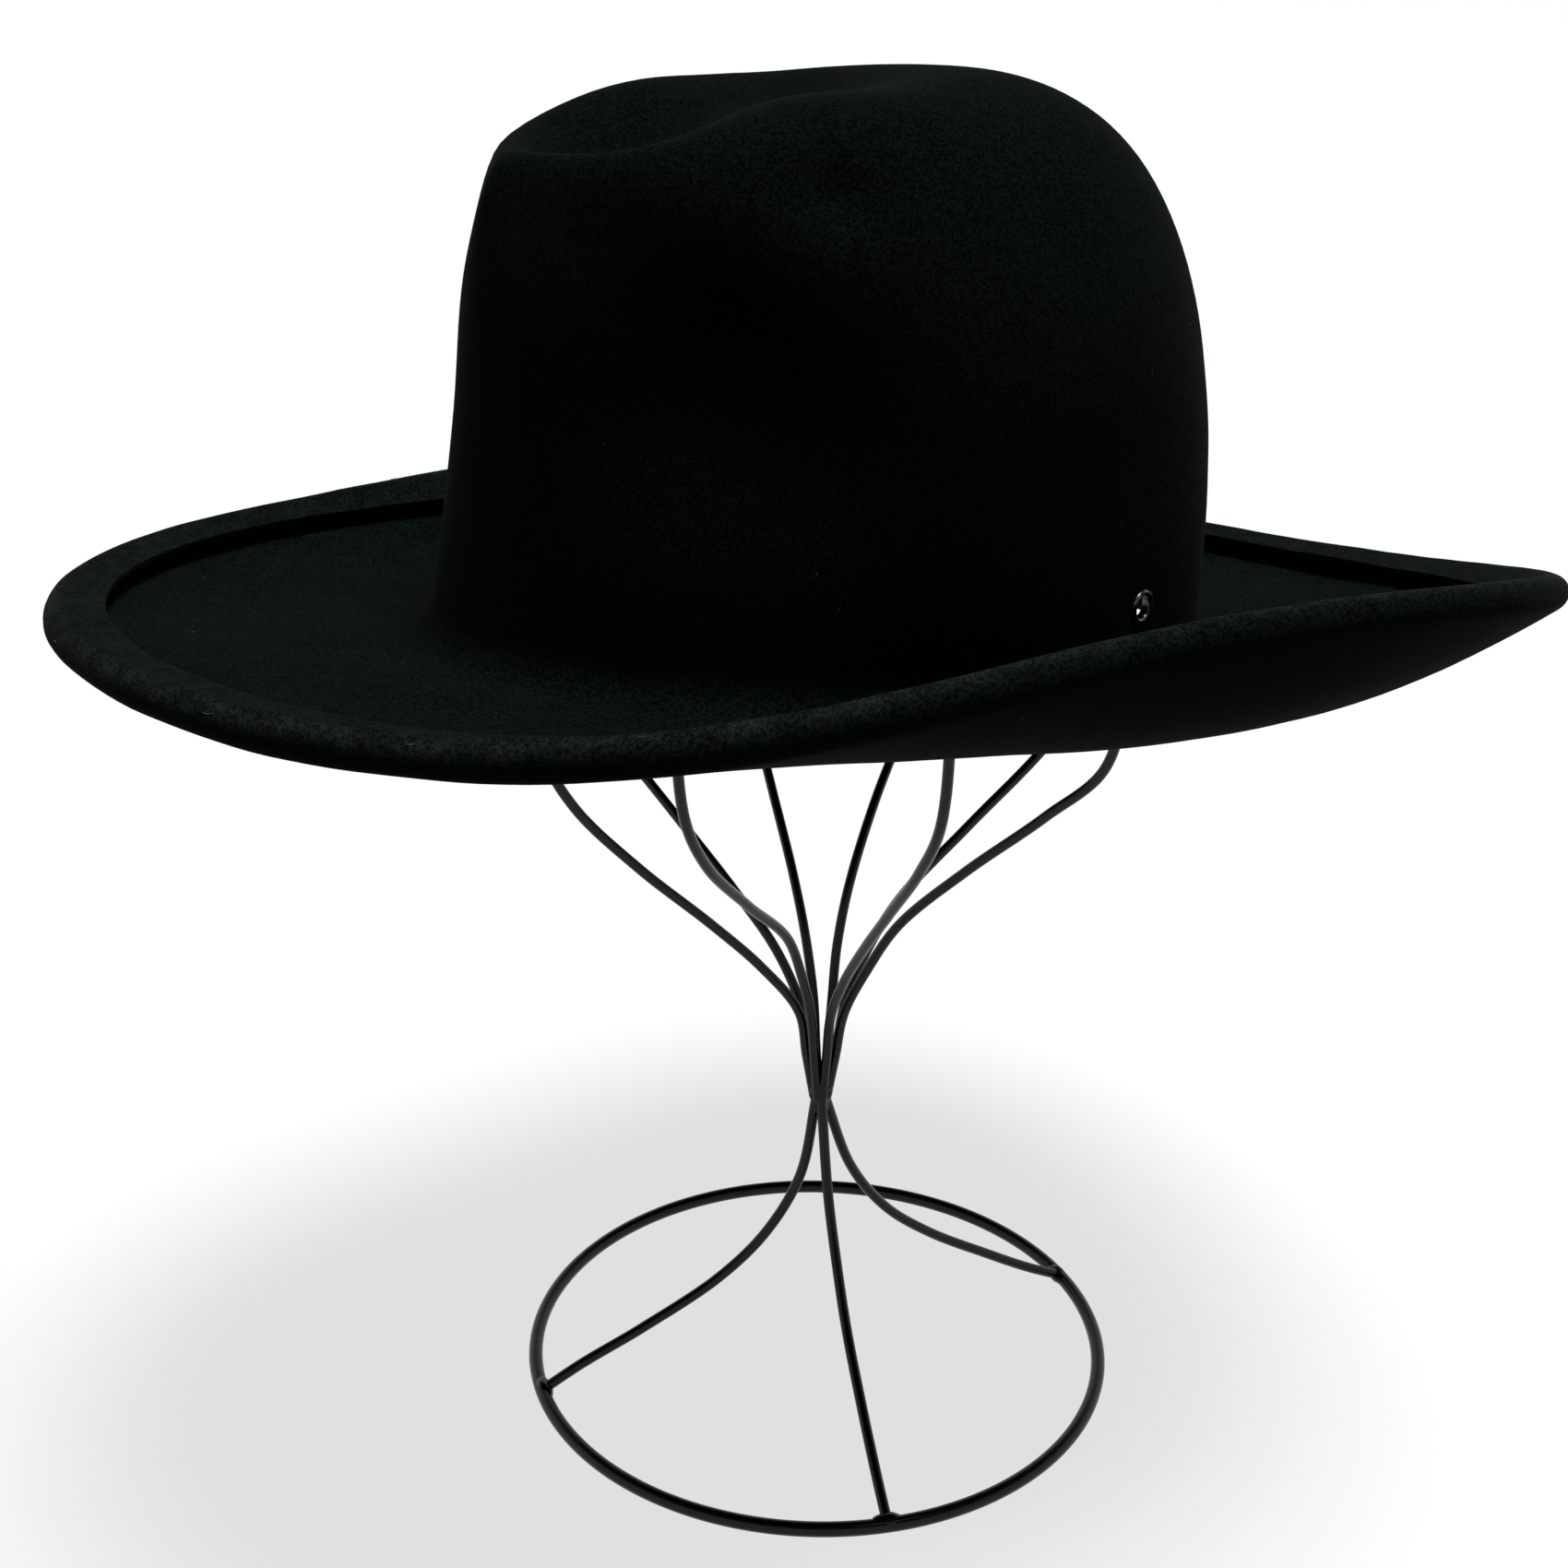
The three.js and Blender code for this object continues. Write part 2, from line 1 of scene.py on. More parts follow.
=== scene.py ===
"""A black felt western fedora with a rolled edge, resting on a wire hat stand.

Sizes are in millimetres in the hat's or the stand's own frame, and every mesh is made in metres
in the row frame. The hat's front faces -Y and its left side +X. Angles round the hat go from its
front towards its left side.
"""
import logging
import math
from dataclasses import dataclass, field
from enum import Enum

import bmesh
import bpy
import numpy as np
from mathutils import Matrix, Vector, noise


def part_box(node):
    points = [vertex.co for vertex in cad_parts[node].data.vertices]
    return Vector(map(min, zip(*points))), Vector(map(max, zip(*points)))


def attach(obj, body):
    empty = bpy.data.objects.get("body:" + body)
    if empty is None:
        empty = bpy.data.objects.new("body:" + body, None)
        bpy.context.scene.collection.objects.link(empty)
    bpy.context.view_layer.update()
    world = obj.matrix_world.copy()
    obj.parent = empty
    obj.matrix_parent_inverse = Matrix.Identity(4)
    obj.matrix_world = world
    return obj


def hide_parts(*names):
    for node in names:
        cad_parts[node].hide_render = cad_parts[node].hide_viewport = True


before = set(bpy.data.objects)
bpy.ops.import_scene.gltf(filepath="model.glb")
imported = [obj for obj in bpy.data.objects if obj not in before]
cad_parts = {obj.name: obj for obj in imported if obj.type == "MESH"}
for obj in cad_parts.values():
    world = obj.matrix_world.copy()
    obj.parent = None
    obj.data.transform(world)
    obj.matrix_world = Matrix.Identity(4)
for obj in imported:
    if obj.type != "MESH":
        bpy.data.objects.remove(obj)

MM = 0.001
TURN = 2 * math.pi
# Name of the skin's attribute for lighter felt: wear towards the edges, and a painted highlight along
# the crest of the rolled edge.
RUB_AND_CREST_HIGHLIGHT = "rubbed"
LOG = logging.getLogger("hat")

Colour = tuple[float, float, float, float]
Pair = tuple[float, float]
Triple = tuple[float, float, float]


class Slot(Enum):
    """The record's material slots."""

    FELT = "felt"
    EYELET = "eyelet_metal"
    WIRE = "wire"


class Side(Enum):
    """The side of the hat that an eyelet is on. The value turns its angle."""

    LEFT = 1
    RIGHT = -1


# Shader nodes


class Signal:
    """A number that comes out of a node, with Python's operators for maths on it."""

    def __init__(self, sheet: "NodeSheet", socket: bpy.types.NodeSocket) -> None:
        """Wraps an output socket of a sheet's node."""
        self.sheet = sheet
        self.socket = socket

    def _maths(self, operation: str, *values: "Signal | float") -> "Signal":
        """Adds a Math node and returns its result."""
        return self.sheet.number("ShaderNodeMath", {"operation": operation}, dict(enumerate(values)))

    def __add__(self, other: "Signal | float") -> "Signal":
        """self + other."""
        return self._maths("ADD", self, other)

    def __radd__(self, other: float) -> "Signal":
        """other + self."""
        return self._maths("ADD", other, self)

    def __mul__(self, other: "Signal | float") -> "Signal":
        """self * other."""
        return self._maths("MULTIPLY", self, other)

    def __rmul__(self, other: float) -> "Signal":
        """other * self."""
        return self._maths("MULTIPLY", other, self)

    def __truediv__(self, other: "Signal | float") -> "Signal":
        """self / other."""
        return self._maths("DIVIDE", self, other)

    def between(self, low: float, high: float) -> "Signal":
        """Low where self is 0 and high where it is 1."""
        return low + self * (high - low)

    def step(self, low: float, high: float) -> "Signal":
        """A soft step from 0 where self is low to 1 where it is high, or the other way round.

        Args:
            low: the value where the step gives 0.
            high: the value where the step gives 1.

        Returns:
            The step, from 0 to 1.
        """
        inputs = {0: self, 1: low, 2: high, 3: 0.0, 4: 1.0}
        return self.sheet.number("ShaderNodeMapRange", {"interpolation_type": "SMOOTHSTEP"}, inputs)


class NodeSheet:
    """The nodes of one material, with the surface's shader and its place in the row frame ready."""

    def __init__(self, name: str) -> None:
        """Makes the material and its output.

        Args:
            name: the material's name.
        """
        self.material = bpy.data.materials.new(name)
        self.material.use_nodes = True
        self.tree = self.material.node_tree
        self.tree.nodes.clear()
        self.place = self.add("ShaderNodeTexCoord").outputs["Object"]

    def add(
        self,
        kind: str,
        settings: dict[str, object] | None = None,
        inputs: dict[str | int, object] | None = None,
    ) -> bpy.types.Node:
        """Adds a node.

        Args:
            kind: the node's type.
            settings: its own settings, which are set first.
            inputs: a value, a socket or a Signal for each input, by name or number.

        Returns:
            The new node.
        """
        node = self.tree.nodes.new(kind)
        for key, value in (settings or {}).items():
            setattr(node, key, value)
        for key, value in (inputs or {}).items():
            source = value.socket if isinstance(value, Signal) else value
            if isinstance(source, bpy.types.NodeSocket):
                self.tree.links.new(source, node.inputs[key])
            else:
                node.inputs[key].default_value = source
        return node

    def number(
        self, kind: str, settings: dict[str, object], inputs: dict[str | int, object]
    ) -> Signal:
        """Adds a node and returns its first output as a Signal."""
        return Signal(self, self.add(kind, settings, inputs).outputs[0])

    def stretched(self, size: Triple, turn: Triple) -> bpy.types.NodeSocket:
        """The surface's place turned and then scaled along each axis.

        Args:
            size: the scale along each axis.
            turn: the turn about each axis, in radians.

        Returns:
            The socket of the new place.
        """
        inputs = {"Vector": self.place, "Rotation": turn, "Scale": size}
        return self.add("ShaderNodeMapping", {"vector_type": "TEXTURE"}, inputs).outputs[0]

    def cloud(
        self, scale: float, detail: float, place: bpy.types.NodeSocket | None = None
    ) -> Signal:
        """Soft noise from 0 to 1.

        Args:
            scale: how many lumps there are in a metre.
            detail: how many finer layers lie over them.
            place: the socket to read it at, if not the surface's place.

        Returns:
            The noise.
        """
        inputs = {"Vector": place or self.place, "Scale": scale, "Detail": detail, "Roughness": 0.55}
        return self.number("ShaderNodeTexNoise", {}, inputs)

    def mixed(self, share: Signal, first: object, second: object) -> bpy.types.NodeSocket:
        """A colour between two others.

        Args:
            share: how much there is of the second.
            first: the colour where the share is 0.
            second: the colour where the share is 1.

        Returns:
            The socket of the mixed colour.
        """
        node = self.add("ShaderNodeMix", {"data_type": "RGBA"}, {0: share, 6: first, 7: second})
        return node.outputs[2]

    def raised(self, height: Signal, strength: float, distance: float) -> bpy.types.NodeSocket:
        """The normal of a surface with a fine relief.

        Args:
            height: the relief, from 0 to 1.
            strength: how strong it is.
            distance: how high it is, in metres.

        Returns:
            The socket of the normal.
        """
        inputs = {"Height": height, "Strength": strength, "Distance": distance}
        return self.add("ShaderNodeBump", {}, inputs).outputs[0]

    def finish(self, inputs: dict[str, object]) -> bpy.types.Material:
        """Adds the surface's shader and the output, and returns the material.

        Args:
            inputs: the shader's values, sockets and Signals, by name.

        Returns:
            The material.
        """
        shader = self.add("ShaderNodeBsdfPrincipled", {}, inputs)
        self.add("ShaderNodeOutputMaterial", {}, {"Surface": shader.outputs[0]})
        return self.material


@dataclass(frozen=True)
class FeltFinish:
    """Dense black wool felt: matt, faintly green-blue, with a fine nap and a little light fibre, lighter
    where rubbed, which along the rolled edge's crest is also a painted highlight.
    """

    deep: Colour = (0.0001, 0.0004, 0.0003, 1.0)
    worn: Colour = (0.0042, 0.0088, 0.0074, 1.0)
    # Lighter felt for wear, and for the painted highlight along the rolled edge's crest.
    rubbed: Colour = (0.017, 0.023, 0.021, 1.0)
    fibre: Colour = (0.060, 0.066, 0.064, 1.0)
    sheen_tint: Colour = (0.82, 1.0, 0.97, 1.0)
    patch_scale: float = 26.0
    patch_range: Pair = (0.36, 0.66)
    patch_wear: float = 0.1
    mottle_scale: float = 170.0
    mottle_range: Pair = (0.35, 0.68)
    mottle_wear: float = 0.08
    fine_scale: float = 1900.0
    fine_range: Pair = (0.45, 0.59)
    coarse_scale: float = 1045.0
    coarse_range: Pair = (0.45, 0.57)
    grain_wear: float = 0.82
    # How the rubbed lightening, part wear and part painted crest highlight, is broken up by mottle and
    # grain.
    rub_range: Pair = (0.38, 0.62)
    rub_off_mottle: float = 0.4
    rub_off_grain: float = 0.2
    fleck_scale: float = 300.0
    fleck_edge: Pair = (0.16, 0.06)
    fleck_lots: Pair = (0.985, 0.995)
    fleck_on_rub: float = 0.05
    nap_length: float = 0.0030
    nap_width: float = 0.0005
    nap_turns: tuple[Triple, ...] = ((0.3, 0.5, 0.7), (0.6, 0.2, 1.1), (0.5, 0.9, 0.2))
    grain_relief: float = 0.45
    relief_strength: float = 0.55
    nap_height: float = 0.0004
    roughness: Pair = (0.86, 0.98)
    gloss: float = 0.012
    nap_sheen: float = 0.004
    sheen_roughness: float = 0.45

    def nap(self, sheet: NodeSheet) -> Signal:
        """Short crossing hairs: noise stretched along each axis in turn.

        Args:
            sheet: the felt's nodes.

        Returns:
            The hairs' height, from 0 to 1.
        """
        hairs = []
        for axis, turn in enumerate(self.nap_turns):
            size = [self.nap_width] * 3
            size[axis] = self.nap_length
            hairs.append(sheet.cloud(1.0, 1.0, sheet.stretched(tuple(size), turn)))
        return sum(hairs[1:], hairs[0]) / len(hairs)

    def material(self) -> bpy.types.Material:
        """Builds the felt's material.

        Returns:
            The material.
        """
        sheet = NodeSheet("black_felt")
        patch, mottle = sheet.cloud(self.patch_scale, 3.0), sheet.cloud(self.mottle_scale, 3.0)
        fine, coarse = sheet.cloud(self.fine_scale, 1.0), sheet.cloud(self.coarse_scale, 1.0)
        grain = (fine + coarse) * 0.5
        speckle = (fine.step(*self.fine_range) + coarse.step(*self.coarse_range)) * 0.5
        worn = patch.step(*self.patch_range) * self.patch_wear
        worn = worn + mottle.step(*self.mottle_range) * self.mottle_wear
        base = sheet.mixed(worn + speckle * self.grain_wear, self.deep, self.worn)

        # The skin's rubbed attribute: wear towards the edges and a painted highlight along the crest of
        # the rolled edge.
        rub_and_highlight = Signal(sheet, sheet.add("ShaderNodeAttribute", {"attribute_name": RUB_AND_CREST_HIGHLIGHT}).outputs["Fac"])
        in_mottle = mottle.step(*self.rub_range).between(self.rub_off_mottle, 1.0)
        in_grain = speckle.between(self.rub_off_grain, 1.0)
        with_rub_and_highlight = sheet.mixed(rub_and_highlight * in_mottle * in_grain, base, self.rubbed)

        inputs = {"Vector": sheet.place, "Scale": self.fleck_scale}
        cells = sheet.add("ShaderNodeTexVoronoi", {"feature": "F1"}, inputs)
        lot = sheet.number("ShaderNodeSeparateColor", {}, {0: cells.outputs["Color"]})
        near = Signal(sheet, cells.outputs["Distance"]).step(*self.fleck_edge)
        fleck = (lot + rub_and_highlight * self.fleck_on_rub).step(*self.fleck_lots) * near
        relief = grain * self.grain_relief + self.nap(sheet) * (1 - self.grain_relief)
        return sheet.finish({
            "Base Color": sheet.mixed(fleck * grain, with_rub_and_highlight, self.fibre),
            "Roughness": grain.between(*self.roughness),
            "Specular IOR Level": self.gloss,
            "Sheen Weight": self.nap_sheen,
            "Sheen Roughness": self.sheen_roughness,
            "Sheen Tint": self.sheen_tint,
            "Normal": sheet.raised(relief, self.relief_strength, self.nap_height),
        })


@dataclass(frozen=True)
class LacquerFinish:
    """Black lacquer on steel wire: satin, with a faint orange peel and dust in it."""

    shade: Colour = (0.0012, 0.0012, 0.0013, 1.0)
    dusty: Colour = (0.0060, 0.0061, 0.0062, 1.0)
    patch_scale: float = 90.0
    patch_range: Pair = (0.45, 0.72)
    peel_scale: float = 900.0
    peel_range: Pair = (0.5, 0.75)
    dust_in_patches: float = 0.6
    roughness: Pair = (0.2, 0.34)
    gloss: float = 0.24
    peel_strength: float = 0.25
    peel_height: float = 0.00008

    def material(self) -> bpy.types.Material:
        """Builds the lacquer's material.

        Returns:
            The material.
        """
        sheet = NodeSheet("black_lacquer")
        patch = sheet.cloud(self.patch_scale, 3.0)
        peel = sheet.cloud(self.peel_scale, 1.0)
        dust = patch.step(*self.patch_range) * self.dust_in_patches
        dust = dust + peel.step(*self.peel_range) * (1 - self.dust_in_patches)
        return sheet.finish({
            "Base Color": sheet.mixed(dust, self.shade, self.dusty),
            "Roughness": patch.between(*self.roughness),
            "Specular IOR Level": self.gloss,
            "Normal": sheet.raised(peel, self.peel_strength, self.peel_height),
        })


@dataclass(frozen=True)
class GunmetalFinish:
    """Dark plated brass, rubbed lighter in places."""

    dark: Colour = (0.020, 0.021, 0.022, 1.0)
    rubbed: Colour = (0.16, 0.165, 0.17, 1.0)
    patch_scale: float = 500.0
    patch_range: Pair = (0.42, 0.7)
    scratch_scale: float = 3500.0
    scratch_strength: float = 0.2
    scratch_height: float = 0.00003
    roughness: Pair = (0.2, 0.4)
    metal: float = 0.92

    def material(self) -> bpy.types.Material:
        """Builds the eyelets' material.

        Returns:
            The material.
        """
        sheet = NodeSheet("gunmetal")
        lightening = sheet.cloud(self.patch_scale, 4.0).step(*self.patch_range)
        fine = sheet.cloud(self.scratch_scale, 2.0)
        return sheet.finish({
            "Base Color": sheet.mixed(lightening, self.dark, self.rubbed),
            "Metallic": self.metal,
            "Roughness": fine.between(*self.roughness),
            "Normal": sheet.raised(fine, self.scratch_strength, self.scratch_height),
        })


@dataclass(frozen=True)
class LintFinish:
    """Pale grey fibre."""

    dull: Colour = (0.035, 0.037, 0.036, 1.0)
    pale: Colour = (0.16, 0.165, 0.16, 1.0)
    scale: float = 900.0
    change: Pair = (0.4, 0.6)

    def material(self) -> bpy.types.Material:
        """Builds the loose fibres' material.

        Returns:
            The material.
        """
        sheet = NodeSheet("lint")
        return sheet.finish({
            "Base Color": sheet.mixed(
                sheet.cloud(self.scale, 2.0).step(*self.change), self.dull, self.pale
            ),
            "Roughness": 0.9,
            "Specular IOR Level": 0.1,
        })


@dataclass(frozen=True)
class FloorFinish:
    """A plain pale floor that gives off some light, so that it comes out nearly white."""

    shade: Colour = (0.245, 0.247, 0.25, 1.0)
    pale: Colour = (0.26, 0.262, 0.265, 1.0)
    cloud_scale: float = 2.0
    glow: float = 0.74

    def material(self) -> bpy.types.Material:
        """Builds the floor's material.

        Returns:
            The material.
        """
        sheet = NodeSheet("pale_floor")
        return sheet.finish({
            "Base Color": sheet.mixed(sheet.cloud(self.cloud_scale, 3.0), self.shade, self.pale),
            "Roughness": 0.9,
            "Specular IOR Level": 0.0,
            "Emission Color": (1.0, 1.0, 1.0, 1.0),
            "Emission Strength": self.glow,
        })


# Meshes


@dataclass
class Shell:
    """Points in millimetres and the faces between them, gathered for one mesh."""

    parts: list[np.ndarray] = field(default_factory=list)
    faces: list[tuple[int, ...]] = field(default_factory=list)
    count: int = 0

    def add_points(self, points: np.ndarray) -> np.ndarray:
        """Adds points and returns their numbers, in the same layout.

        Args:
            points: the points, in any layout.

        Returns:
            Their numbers, in the same layout.
        """
        flat = points.reshape(-1, 3)
        self.parts.append(flat)
        first = self.count
        self.count += len(flat)
        return np.arange(first, self.count).reshape(points.shape[:-1])

    def add_rings(self, rings: np.ndarray, looped: bool = False) -> np.ndarray:
        """Joins closed rings of points, one after the other, with a skin.

        Args:
            rings: the points, by ring and by place round it.
            looped: whether the last ring joins the first.

        Returns:
            The numbers of the points, in the same layout.
        """
        numbers = self.add_points(rings)
        here = numbers if looped else numbers[:-1]
        there = np.roll(numbers, -1, axis=0) if looped else numbers[1:]
        beside = (np.roll(here, -1, axis=1), np.roll(there, -1, axis=1))
        quads = np.stack([here, there, beside[1], beside[0]], axis=-1).reshape(-1, 4)
        self.faces.extend(map(tuple, quads.tolist()))
        return numbers

    def add_fan(self, ring: np.ndarray, tip: np.ndarray) -> None:
        """Closes a ring of numbered points with triangles to a new point."""
        top = int(self.add_points(tip.reshape(1, 3))[0])
        for first, second in zip(ring.tolist(), np.roll(ring, -1).tolist()):
            self.faces.append((first, second, top))

    def add_closed(self, rings: np.ndarray) -> None:
        """Joins closed rings of points with a skin and closes the first and the last one."""
        numbers = self.add_rings(rings)
        for end in (0, -1):
            self.add_fan(numbers[end], rings[end].mean(axis=0))

    def add_lid(self, ring: np.ndarray) -> None:
        """Closes the end of a tube with points of its own, so that the tube's shading stays round."""
        numbers = self.add_points(ring)
        self.add_fan(numbers, ring.mean(axis=0))

    def add_tube(self, line: np.ndarray, diameter: float, side: np.ndarray, sides: int) -> None:
        """Adds a round tube with closed ends.

        Args:
            line: its middle line.
            diameter: its thickness.
            side: a direction that stays square to the line.
            sides: how many sides it has.
        """
        ahead = np.gradient(line, axis=0)
        ahead /= np.linalg.norm(ahead, axis=1, keepdims=True)
        over = np.cross(ahead, side)
        around = np.arange(sides) * TURN / sides
        circle = np.cos(around)[:, None] * side + np.sin(around)[:, None] * over[:, None]
        rings = line[:, None] + diameter / 2 * circle
        self.add_rings(rings)
        self.add_lid(rings[0])
        self.add_lid(rings[-1])

    def move(self, placing: np.ndarray) -> None:
        """Moves all the points by a 4 by 4 matrix."""
        self.parts = [part @ placing[:3, :3].T + placing[:3, 3] for part in self.parts]

    def build(self, name: str, sharp: float = 40.0) -> bpy.types.Object:
        """Makes the mesh and its object in metres.

        Args:
            name: the piece's name.
            sharp: the angle between faces, in degrees, over which an edge is kept sharp.

        Returns:
            The new object, at the origin.
        """
        mesh = bpy.data.meshes.new(name)
        mesh.from_pydata((np.concatenate(self.parts) * MM).tolist(), [], self.faces)
        sheet = bmesh.new()
        sheet.from_mesh(mesh)
        bmesh.ops.recalc_face_normals(sheet, faces=sheet.faces)
        sheet.to_mesh(mesh)
        sheet.free()
        mesh.shade_smooth()
        mesh.set_sharp_from_angle(angle=math.radians(sharp))
        piece = bpy.data.objects.new(name, mesh)
        bpy.context.scene.collection.objects.link(piece)
        return piece


def dress(
    piece: bpy.types.Object, material: bpy.types.Material, node: str
) -> bpy.types.Object:
    """Gives a finished piece its material and its body, and hides the CAD node that it stands for.

    Args:
        piece: the piece, in place.
        material: its finish.
        node: the CAD node.

    Returns:
        The same piece.
    """
    piece.data.materials.clear()
    piece.data.materials.append(material)
    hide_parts(node)
    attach(piece, "root")
    return piece


def lathe(profile: np.ndarray, sides: int) -> np.ndarray:
    """Rings about +Z from a profile.

    Args:
        profile: pairs of radius and height.
        sides: how many points each ring has.

    Returns:
        The points, by pair and by place round the axis.
    """
    around = np.arange(sides) * TURN / sides
    radius = profile[:, 0:1]
    height = np.repeat(profile[:, 1:2], sides, axis=1)
    return np.stack([radius * np.cos(around), radius * np.sin(around), height], axis=-1)


def roughened(points: np.ndarray, size: float, depth: float) -> np.ndarray:
    """How far each point moves on a lumpy surface.

    Args:
        points: the points, in millimetres.
        size: the size of the lumps.
        depth: the most that a point moves, about.

    Returns:
        One distance per point.
    """
    flat = [noise.noise(Vector(point / size)) * depth for point in points.reshape(-1, 3)]
    return np.array(flat).reshape(points.shape[:-1])


# The hat


@dataclass(frozen=True)
class CrownSide:
    """One side of the open crown: how boxy its shoulder is, and how its wall leans in and swells."""

    squareness: float
    lean: float
    belly: float


@dataclass(frozen=True)
class Crease:
    """A dent pressed down into the top, in shares of the crown's half sizes and height."""

    along: float
    reach: float
    across: float
    depth: float


@dataclass(frozen=True)
class Pinch:
    """A dent pressed into both sides, in shares of the crown's half length and height."""

    along: float
    reach: float
    up: float
    tall: float
    depth: float


@dataclass(frozen=True)
class Dent:
    """A shallow thumb mark in the crown: its middle in the hat's frame, its radius and its depth."""

    middle: Triple
    radius: float
    depth: float


@dataclass
class FeltHat:
    """The crown, the brim and its rolled edge, all one skin of felt, with two eyelet holes."""

    felt: float = 2.2
    crown_length: float = 206.0
    crown_width: float = 172.0
    crown_height: float = 144.0
    fillet: float = 9.0
    brim_width: float = 94.0
    brim_lift: float = 33.0
    curl_radius: float = 3.4
    curl_turn: float = math.radians(186)
    lip_width: float = 9.0
    push: Pair = (-3.6, -9.5)
    push_bend: float = 1.5
    crease_fade: float = 3.0
    top_rise_back: float = 0.015
    top_rise_left: float = -0.018
    pinch_softness: float = 0.21
    front: CrownSide = CrownSide(4.82, 0.04, -0.04)
    back: CrownSide = CrownSide(4.03, 0.03, -0.02)
    side: CrownSide = CrownSide(2.22, 0.04, 0.06)
    creases: tuple[Crease, ...] = (
        Crease(-0.585, 0.25, 0.443, 0.222),
        Crease(-0.145, 0.29, 0.443, 0.084),
    )
    pinches: tuple[Pinch, ...] = (
        Pinch(-0.62, 0.29, 0.45, 0.19, 0.085),
        Pinch(-0.849, 0.153, 0.754, 0.157, 0.088),
    )
    dents: tuple[Dent, ...] = (
        Dent((64.0, -43.0, 115.5), 8.5, 5.0),
        Dent((55.1, -70.5, 84.0), 17.0, 2.8),
        Dent((88.0, 22.0, 52.0), 26.0, 2.2),
        Dent((-60.0, -30.0, 118.0), 13.0, 1.8),
    )
    brim_reaches: tuple[float, ...] = (0.98, 0.82, 0.747, 0.979, 0.891, 1.05, 0.745, 0.91)
    brim_lifts: tuple[float, ...] = (0.04, 0.17, 0.95, 0.9, 0.255, 0.245, 0.5, 0.12)
    brim_turn_ends: float = 1.1
    brim_turn_sides: float = 2.94
    place: Triple = (-0.2, -1.5, 227.0)
    tip: float = math.radians(-4.9)
    lean: float = math.radians(-1.7)
    wave_size: float = 42.0
    wave_depth: float = 0.55
    dimple_size: float = 15.0
    dimple_depth: float = 0.14
    press_radius: float = 8.5
    press_edge: int = 6
    press: float = 0.4
    lip_end: float = 0.45
    rub_brim: float = 0.1
    rub_brim_fade: int = 8
    rub_curl: float = 0.15
    # Where the rolled edge's crest is lighter, part wear and part painted highlight: its middle and
    # width along the curl.
    crest_rub_and_highlight: Pair = (0.7, 0.22)
    rub_lip: float = 0.3
    rub_end: float = 0.8
    sharp: float = 55.0
    columns: int = 240
    crown_rows: int = 60
    fillet_rows: int = 6
    brim_rows: int = 28
    curl_rows: int = 14
    lip_rows: int = 4
    end_rows: int = 4

    def placing(self, axis: np.ndarray) -> np.ndarray:
        """The matrix that puts the hat on the stand.

        Args:
            axis: the stand's axis in the row frame, in millimetres.

        Returns:
            A 4 by 4 matrix.
        """
        turn = Matrix.Rotation(self.tip, 4, "X") @ Matrix.Rotation(self.lean, 4, "Y")
        return np.array(Matrix.Translation(Vector(self.place) + Vector((*axis, 0.0))) @ turn)

    def side_shares(self, angle: np.ndarray) -> tuple[np.ndarray, np.ndarray, np.ndarray]:
        """How much of the crown's front, back and side there is in the direction of an angle.

        Args:
            angle: the angles round the hat.

        Returns:
            The three shares, by angle.
        """
        front = (1 + np.cos(angle)) / 2
        back = 1 - front
        return front, back, 2 * front * back

    def crown_point(self, angle: np.ndarray, share: np.ndarray) -> np.ndarray:
        """The middle of the crown's felt.

        Args:
            angle: the angle round the hat.
            share: the share of the way up the crown.

        Returns:
            The points, in the hat's frame.
        """
        front, back, side = self.side_shares(angle)
        tilt = share * math.pi / 2
        power = self.front.squareness * front**2 + self.back.squareness * back**2
        power = power + self.side.squareness * side
        across, rising = np.maximum(np.cos(tilt), 0.0), np.sin(tilt)
        size = (across**power + rising**power) ** (1 / power)
        out, up = across / size, rising / size
        swell = 4 * up * (1 - up)
        walls = [1 - wall.lean * up + wall.belly * swell for wall in (self.front, self.back, self.side)]
        half_length, half_width = self.crown_length / 2, self.crown_width / 2
        y = -half_length * np.cos(angle) * out * (walls[0] * front + walls[1] * back)
        x = half_width * np.sin(angle) * out * walls[2]
        rise = self.top_rise_back * y / half_length + self.top_rise_left * x / half_width
        z = self.fillet + up * (self.crown_height * (1 + rise) - self.fillet) - self.creased(x, y, up)
        pushed = up**self.push_bend
        x = x - self.pinched(x, y, z) + self.push[0] * pushed
        return np.stack([x, y + self.push[1] * pushed, z], axis=-1)

    def creased(self, x: np.ndarray, y: np.ndarray, up: np.ndarray) -> np.ndarray:
        """How far the creases press a point of the crown down.

        Args:
            x: how far to the left it is.
            y: how far back it is.
            up: how far up the crown it is, from 0 to 1.

        Returns:
            The distance down.
        """
        half_length, half_width = self.crown_length / 2, self.crown_width / 2
        depth = np.zeros_like(x)
        for row in self.creases:
            along = self.bump(y, row.along * half_length, row.reach * half_length)
            depth += row.depth * self.crown_height * along * self.bump(x, 0.0, row.across * half_width)
        return depth * up**self.crease_fade

    def pinched(self, x: np.ndarray, y: np.ndarray, z: np.ndarray) -> np.ndarray:
        """How far the pinches press a point of the crown towards its middle.

        Args:
            x: how far to the left it is.
            y: how far back it is.
            z: how high it is.

        Returns:
            The distance in, which is negative on the right.
        """
        half_length, height = self.crown_length / 2, self.crown_height
        depth = np.zeros_like(x)
        for row in self.pinches:
            along = self.bump(y, row.along * half_length, row.reach * half_length)
            depth += row.depth * height * along * self.bump(z, row.up * height, row.tall * height)
        return depth * np.tanh(x / (self.pinch_softness * self.crown_width / 2))

    @staticmethod
    def bump(value: np.ndarray, centre: float, width: float) -> np.ndarray:
        """A smooth bump of height 1 round a centre."""
        return np.exp(-(((value - centre) / width) ** 2))

